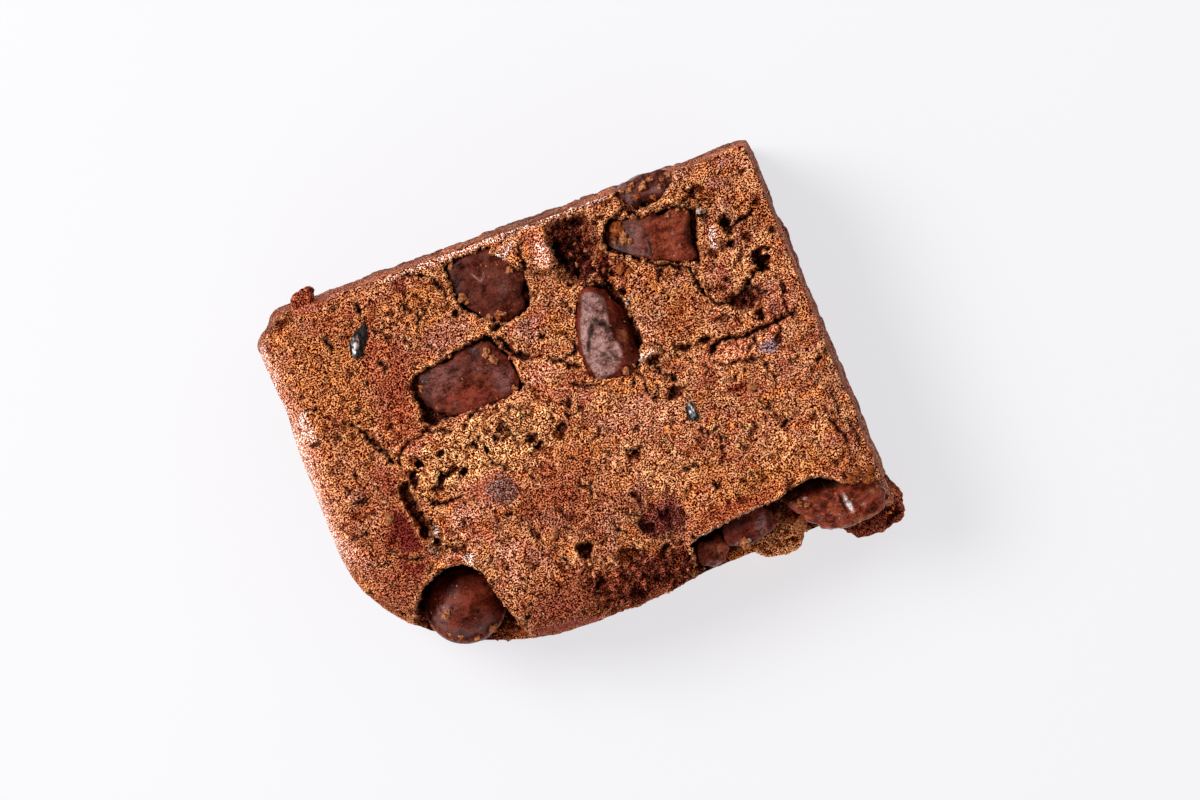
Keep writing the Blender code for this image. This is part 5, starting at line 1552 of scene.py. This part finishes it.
def shape_flake(bm, outline, level, rise):
    """A thin, uneven plate over an outline."""
    steps = len(outline) * 4
    made = bmesh.ops.create_circle(bm, cap_ends=True, segments=steps, radius=1.0)
    for i, vert in enumerate(made["verts"]):
        vert.co = (*on_outline(outline, i / steps).lerp(on_polygon(outline, i / steps), 0.8), level - 0.3)
    base = [face for face in bm.faces if made["verts"][0] in face.verts]
    top = bmesh.ops.extrude_face_region(bm, geom=base)["geom"]
    bmesh.ops.translate(bm, verts=[item for item in top if isinstance(item, bmesh.types.BMVert)],
                        vec=(0, 0, 0.3 + rise))
    cap = [item for item in top if isinstance(item, bmesh.types.BMFace)]
    for _ in range(3):
        bmesh.ops.inset_region(bm, faces=cap, thickness=0.2, depth=0.03)
    spokes = {edge for face in bmesh.ops.poke(bm, faces=cap)["faces"] for edge in face.edges}
    bmesh.ops.subdivide_edges(bm, edges=list(spokes), cuts=3, use_grid_fill=True)


def add_crumb(bm, place, size, draw, detail):
    """One knobbly crumb that sits on a place."""
    made = bmesh.ops.create_icosphere(bm, subdivisions=detail, radius=0.5 * size)["verts"]
    stretch = Vector((draw.uniform(0.6, 1.3), draw.uniform(0.6, 1.3), draw.uniform(0.45, 0.8)))
    turn = Matrix.Rotation(draw.uniform(0, math.tau), 3, "Z")
    seed = Vector((draw.uniform(0, 50), draw.uniform(0, 50), draw.uniform(0, 50)))
    for vert in made:
        spot = vert.co / size
        knob = 1 + 0.9 * noise.noise(spot * 3.2 + seed) + 0.3 * noise.noise(spot * 7.0 + seed)
        vert.co = turn @ (vert.co * knob * stretch) + Vector(place)


def surface_below(names):
    """Finds the height of the finished surface at a place in plan, over the named pieces."""
    trees = []
    for name in names:
        mesh = bpy.data.objects[name].data
        mesh.calc_loop_triangles()
        corners = [tuple(vert.co) for vert in mesh.vertices]
        faces = [tuple(face.vertices) for face in mesh.loop_triangles]
        trees.append(BVHTree.FromPolygons(corners, faces))

    def height(x, y):
        start = Vector((x, y, 40.0)) * MM
        hits = [tree.ray_cast(start, Vector((0, 0, -1)))[0] for tree in trees]
        return max((hit.z / MM for hit in hits if hit is not None), default=0.0)

    return height


def length_setting(name, description, millimetres):
    size = millimetres * MM
    return bpy.props.FloatProperty(name=name, description=description, default=size, unit="LENGTH")


def count_setting(name, description, number):
    return bpy.props.IntProperty(name=name, description=description, default=number)


def amount_setting(name, description, number):
    return bpy.props.FloatProperty(name=name, description=description, default=number)


class BodySettings(bpy.types.PropertyGroup):
    line_gap: length_setting("Line gap", "Distance between the grid lines where there is much detail", 0.225)
    wide_line_gap: length_setting("Wide line gap", "Distance between the grid lines elsewhere", 0.33)
    small_cracks: count_setting("Small cracks", "Number of short cracks scattered over the crust", 90)
    small_pits: count_setting("Small pits", "Number of small pits scattered over the crust", 260)
    crack_seed: count_setting("Crack seed", "Start of the random places of the small cracks and pits", 5)
    wall_rings: count_setting("Wall rings", "Rows of faces down the sides", 26)
    raggedness: length_setting("Raggedness", "How far the edges of hollows and cracks wander", 0.42)
    hollow_wall: length_setting("Hollow wall", "Width of the steep wall of a hollow, seen from above", 0.34)
    hollow_inset: length_setting("Hollow inset", "How far the crumb leans over the chunks in it", 0.3)
    relief: amount_setting("Relief", "Strength of the crumb texture", 1.0)
    gain: amount_setting("Gain", "Brightness of all the colours of the crumb", 1.5)
    grain_size: length_setting("Grain size", "Width of one toasted grain", 0.2)
    grain_relief: length_setting("Grain relief", "Height of the grains", 0.25)


class ChocolateSettings(bpy.types.PropertyGroup):
    sides: count_setting("Sides", "Faces round each piece of chocolate", 112)
    rings: count_setting("Rings", "Faces from the top to the bottom of a chunk", 56)
    growth: length_setting("Growth", "How far a chunk reaches past its solid, into the gap round it", 0.7)
    roundness: amount_setting("Roundness", "How far the edges of a chunk are rounded: 0 for a slab", 0.11)
    roughness: amount_setting("Roughness", "Roughness of the chocolate", 0.34)


class CrumbSettings(bpy.types.PropertyGroup):
    seed: count_setting("Seed", "Start of the random places of the small crumbs", 7)
    rim_crumbs: count_setting("Rim crumbs", "Small crumbs along the rims of the hollows", 220)
    loose_crumbs: count_setting("Loose crumbs", "Tiny crumbs anywhere on the crust", 500)


class StageSettings(bpy.types.PropertyGroup):
    camera_distance: length_setting("Camera distance", "From the camera to the crust", 876)
    field_width: length_setting("Field width", "Width of the picture at the crust", 164.4)
    key_power: amount_setting("Key power", "Power of the soft light from the left, in watts", 8.5)
    room_strength: amount_setting("Room strength", "Light from the white walls of the room", 0.6)
    ceiling_strength: amount_setting("Ceiling strength", "Light from the ceiling above the table", 0.06)
    table_glow: amount_setting("Table glow", "Light that comes up through the white table", 0.7)


class BROWNIE_OT_body(bpy.types.Operator):
    """Make the crumb body with its crust, hollows and cracks"""

    bl_idname = "brownie.body"
    bl_label = "Crumb body"

    def execute(self, context):
        settings = context.scene.brownie_body
        gap, wide_gap = settings.line_gap / MM, settings.wide_line_gap / MM
        lines_x = grid_lines(WEST, EAST, WEST_ROLL[0], DETAIL_X, gap, wide_gap)
        lines_y = grid_lines(SOUTH, NORTH, SOUTH_ROLL[0], DETAIL_Y, gap, wide_gap)
        rings = settings.wall_rings
        mesh = body_shell(lines_x, lines_y, rings)
        points = positions(mesh)
        ring, rim = numbers(mesh, "ring"), numbers(mesh, "rim")
        x, y = plan(points[:, 0], points[:, 1])
        (corner_x, corner_y), depth, width = WORN_CORNER
        worn = depth * np.exp(-((x - corner_x) ** 2 + (y - corner_y) ** 2) / width)
        x, y = x + worn, y - worn
        ragged = layered(x, y, RAGGED_LAYERS, 14.0)
        points[:, 0] = x + ragged * smoothstep((x - EAST + RAGGED_FROM) / RAGGED_RUN)
        points[:, 1] = y + ragged * smoothstep((y - NORTH + RAGGED_FROM) / RAGGED_RUN)
        away = rim_directions(mesh, ring, rim, points)
        upper = ring == 0
        crust = shape_crust(points[upper, 0].copy(), points[upper, 1].copy(), settings)
        points[upper] = np.column_stack((crust.x, crust.y, crust.z))
        wall, share, cut = shape_wall(points, ring, rim, rings, away)
        points[ring > rings, 2] = 0.0
        wall_share = np.zeros(len(points))
        texture = BAKED_TEXTURE + (1 - BAKED_TEXTURE) * cut
        wall_share[wall] = np.sin(math.pi * np.clip(share, 0, 1)) * texture
        tint, grain = paint_body(points, wall, share, cut, crust, ring)
        torn = np.zeros(len(points))
        torn[upper] = crust.torn
        tint = displace(mesh, points, wall_share, torn, tint, grain, settings)
        store_colour(mesh, tint)
        store_number(mesh, "grain", grain)
        add_piece("crumb_body", mesh, crust_material(settings), "crumb", "brownie_body")
        return {"FINISHED"}


class BROWNIE_OT_lumps(bpy.types.Operator):
    """Make the lumps of crumb that stand out of the sides"""

    bl_idname = "brownie.lumps"
    bl_label = "Lumps of crumb"

    def execute(self, context):
        bm = bmesh.new()
        for outline, top, thick, slope in LUMPS.values():
            part = bmesh.new()
            shape_slab(part, outline, top, thick, slope, 96, 48)
            mesh = mesh_from("lump", part)
            roughen(mesh, LUMP_LAYERS, 21.0)
            bm.from_mesh(mesh)
            bpy.data.meshes.remove(mesh)
        bmesh.ops.recalc_face_normals(bm, faces=bm.faces)
        mesh = mesh_from("side_lumps", bm)
        points = positions(mesh)
        tint = plain(CRUST_COLOURS["red_brown"], len(points))
        grain = np.ones(len(points))
        paint(points[:, 0], points[:, 1], tint, LUMP_ZONES, CRUST_COLOURS, 33.0, grain)
        still = np.zeros(len(points))
        tint = displace(mesh, points, still, still + 0.25, tint, grain, context.scene.brownie_body)
        store_colour(mesh, tint)
        store_number(mesh, "grain", grain)
        add_piece("side_lumps", mesh, bpy.data.materials["crust"], "crumb", "brownie_body")
        return {"FINISHED"}


class BROWNIE_OT_chocolate(bpy.types.Operator):
    """Make the eight chunks and the drop of chocolate"""

    bl_idname = "brownie.chocolate"
    bl_label = "Chocolate"

    def execute(self, context):
        settings = context.scene.brownie_chocolate
        material = chocolate_material(settings)
        for name in CHUNKS:
            add_piece(name + "_finish", shape_chunk(name, settings), material, "chocolate", name)
        add_piece("drop_southwest_finish", shape_drop(settings), material, "chocolate", "drop_southwest")
        return {"FINISHED"}


class BROWNIE_OT_flakes(bpy.types.Operator):
    """Make the dark flakes that lie on the crust"""

    bl_idname = "brownie.flakes"
    bl_label = "Dark flakes"

    def execute(self, context):
        bm = bmesh.new()
        for outline, rise in DARK_FLAKES.values():
            shape_flake(bm, outline, level_at(outline), rise)
        bmesh.ops.recalc_face_normals(bm, faces=bm.faces)
        mesh = mesh_from("dark_flakes", bm)
        points = roughen(mesh, FLAKE_LAYERS, 5.0)
        tint = plain(FLAKE_BLACK, len(points))
        paint(points[:, 0], points[:, 1], tint, FLAKE_GLINTS, CHOCOLATE_COLOURS, 3.0)
        store_colour(mesh, tint)
        add_piece("dark_flakes", mesh, flake_material(), "crumb", "brownie_body", smooth=False)
        return {"FINISHED"}


class BROWNIE_OT_crumbs(bpy.types.Operator):
    """Scatter loose crumbs over the crust and along the rims of its hollows"""

    bl_idname = "brownie.crumbs"
    bl_label = "Loose crumbs"

    def execute(self, context):
        settings = context.scene.brownie_crumbs
        draw = random.Random(settings.seed)
        solid = ["crumb_body", "side_lumps", "drop_southwest_finish", *(name + "_finish" for name in CHUNKS)]
        height = surface_below(solid)
        kinds = {kind: bmesh.new() for kind in CRUMB_KINDS}
        for kind, (x, y), size in PLACED_CRUMBS:
            add_crumb(kinds[kind], (x, y, height(x, y) + 0.15 * size), size, draw, PLACED_DETAIL)
        rims = [outline for outline, depth in HOLLOWS.values()]
        rims += [SOUTH_BREAK[:SOUTH_RIM_POINTS], WEST_BREAK[:WEST_RIM_POINTS]]
        for _ in range(settings.rim_crumbs):
            outline = draw.choice(rims)
            place = on_outline(outline, draw.random())
            x, y = place.x + draw.gauss(0, RIM_SPREAD), place.y + draw.gauss(0, RIM_SPREAD)
            size = draw.uniform(*RIM_CRUMB_SIZE)
            kind = draw.choice(RIM_CRUMB_KINDS)
            level = height(x, y)
            if level > LOWEST_CRUMB:
                add_crumb(kinds[kind], (x, y, level + 0.1 * size), size, draw, SCATTERED_DETAIL)
        for _ in range(settings.loose_crumbs):
            x, y = draw.uniform(WEST + 1, EAST - 1), draw.uniform(SOUTH + 1, NORTH - 1)
            level = height(x, y)
            size = draw.uniform(*LOOSE_CRUMB_SIZE)
            kind = draw.choice(LOOSE_CRUMB_KINDS)
            if level > LOWEST_CRUMB:
                add_crumb(kinds[kind], (x, y, level), size, draw, SCATTERED_DETAIL)
        for kind, bm in kinds.items():
            bmesh.ops.recalc_face_normals(bm, faces=bm.faces)
            material = crumb_material(kind + " crumb", *CRUMB_KINDS[kind])
            add_piece(kind + "_crumbs", mesh_from(kind + "_crumbs", bm), material, "crumb")
        return {"FINISHED"}


def add_floor(settings):
    """A wide white table with a little light of its own."""
    bm = bmesh.new()
    bmesh.ops.create_grid(bm, x_segments=1, y_segments=1, size=FLOOR_HALF)
    mesh = mesh_from("floor", bm)
    material = bpy.data.materials.new("white table")
    material.use_nodes = True
    inputs = material.node_tree.nodes["Principled BSDF"].inputs
    inputs["Base Color"].default_value = FLOOR_COLOUR
    inputs["Roughness"].default_value = 0.9
    inputs["Specular IOR Level"].default_value = 0.1
    inputs["Emission Color"].default_value = FLOOR_GLOW
    inputs["Emission Strength"].default_value = settings.table_glow
    mesh.materials.append(material)
    floor = bpy.data.objects.new("floor", mesh)
    bpy.context.scene.collection.objects.link(floor)


def add_lamp(settings):
    """A soft round light, up on the left side of the picture."""
    right = Vector((math.cos(PICTURE_TURN), math.sin(PICTURE_TURN), 0))
    up = Vector((-math.sin(PICTURE_TURN), math.cos(PICTURE_TURN), 0))
    lamp = bpy.data.lights.new("key", "AREA")
    lamp.shape = "DISK"
    lamp.size = LAMP_SIZE
    lamp.energy = settings.key_power
    lamp.color = LAMP_COLOUR
    key = bpy.data.objects.new("key", lamp)
    along, across, height = LAMP_PLACE
    key.location = along * right + across * up + Vector((0, 0, height))
    key.rotation_mode = "QUATERNION"
    key.rotation_quaternion = (-key.location).to_track_quat("-Z", "Y")
    key.visible_camera = False
    bpy.context.scene.collection.objects.link(key)


def add_room(settings):
    """White walls that light the brownie from all sides, under a darker ceiling."""
    world = bpy.data.worlds.new("white room")
    world.use_nodes = True
    nodes, links = world.node_tree.nodes, world.node_tree.links
    split = nodes.new("ShaderNodeSeparateXYZ")
    links.new(nodes.new("ShaderNodeTexCoord").outputs["Generated"], split.inputs["Vector"])
    fade = nodes.new("ShaderNodeMapRange")
    fade.interpolation_type = "SMOOTHSTEP"
    links.new(split.outputs["Z"], fade.inputs["Value"])
    for name, number in (("From Min", WALL_TOP), ("From Max", CEILING_FROM),
                         ("To Min", settings.room_strength), ("To Max", settings.ceiling_strength)):
        fade.inputs[name].default_value = number
    nodes["Background"].inputs["Color"].default_value = ROOM_COLOUR
    links.new(fade.outputs["Result"], nodes["Background"].inputs["Strength"])
    bpy.context.scene.world = world


def add_camera(settings):
    """Looks straight down, from so far that the crust fills its share of the picture."""
    camera = bpy.data.objects.new("camera", bpy.data.cameras.new("camera"))
    camera.data.lens = camera.data.sensor_width * settings.camera_distance / settings.field_width
    camera.location = (*CAMERA_PLACE, PLATE_TOP * MM + settings.camera_distance)
    camera.rotation_euler = (0, 0, PICTURE_TURN)
    camera.data.clip_start = 0.01
    bpy.context.scene.collection.objects.link(camera)
    bpy.context.scene.camera = camera


class BROWNIE_OT_stage(bpy.types.Operator):
    """Add the pale floor, the soft light and the camera"""

    bl_idname = "brownie.stage"
    bl_label = "Floor, light and camera"

    def execute(self, context):
        for add in (add_floor, add_lamp, add_room, add_camera):
            add(context.scene.brownie_stage)
        context.scene.view_settings.view_transform = "Standard"
        return {"FINISHED"}


class BROWNIE_PT_panel(bpy.types.Panel):
    """Lists what the brownie is made of"""

    bl_label = "Brownie finish"
    bl_idname = "BROWNIE_PT_panel"
    bl_space_type = "VIEW_3D"
    bl_region_type = "UI"
    bl_category = "Brownie"

    def draw(self, context):
        for step in STEPS:
            self.layout.operator(step.bl_idname)
        for name in SETTINGS:
            box = self.layout.box()
            settings = getattr(context.scene, name)
            for key in SETTINGS[name].__annotations__:
                box.prop(settings, key)


STEPS = (BROWNIE_OT_body, BROWNIE_OT_lumps, BROWNIE_OT_chocolate, BROWNIE_OT_flakes, BROWNIE_OT_crumbs,
         BROWNIE_OT_stage)
SETTINGS = {
    "brownie_body": BodySettings,
    "brownie_chocolate": ChocolateSettings,
    "brownie_crumbs": CrumbSettings,
    "brownie_stage": StageSettings,
}


def register():
    for name, group in SETTINGS.items():
        bpy.utils.register_class(group)
        setattr(bpy.types.Scene, name, bpy.props.PointerProperty(type=group))
    for item in (*STEPS, BROWNIE_PT_panel):
        bpy.utils.register_class(item)


def unregister():
    for item in (BROWNIE_PT_panel, *reversed(STEPS)):
        bpy.utils.unregister_class(item)
    for name, group in SETTINGS.items():
        delattr(bpy.types.Scene, name)
        bpy.utils.unregister_class(group)


def main():
    register()
    bpy.ops.brownie.body()
    bpy.ops.brownie.lumps()
    bpy.ops.brownie.chocolate()
    bpy.ops.brownie.flakes()
    bpy.ops.brownie.crumbs()
    bpy.ops.brownie.stage()
    bpy.context.view_layer.update()


if __name__ == "__main__":
    main()
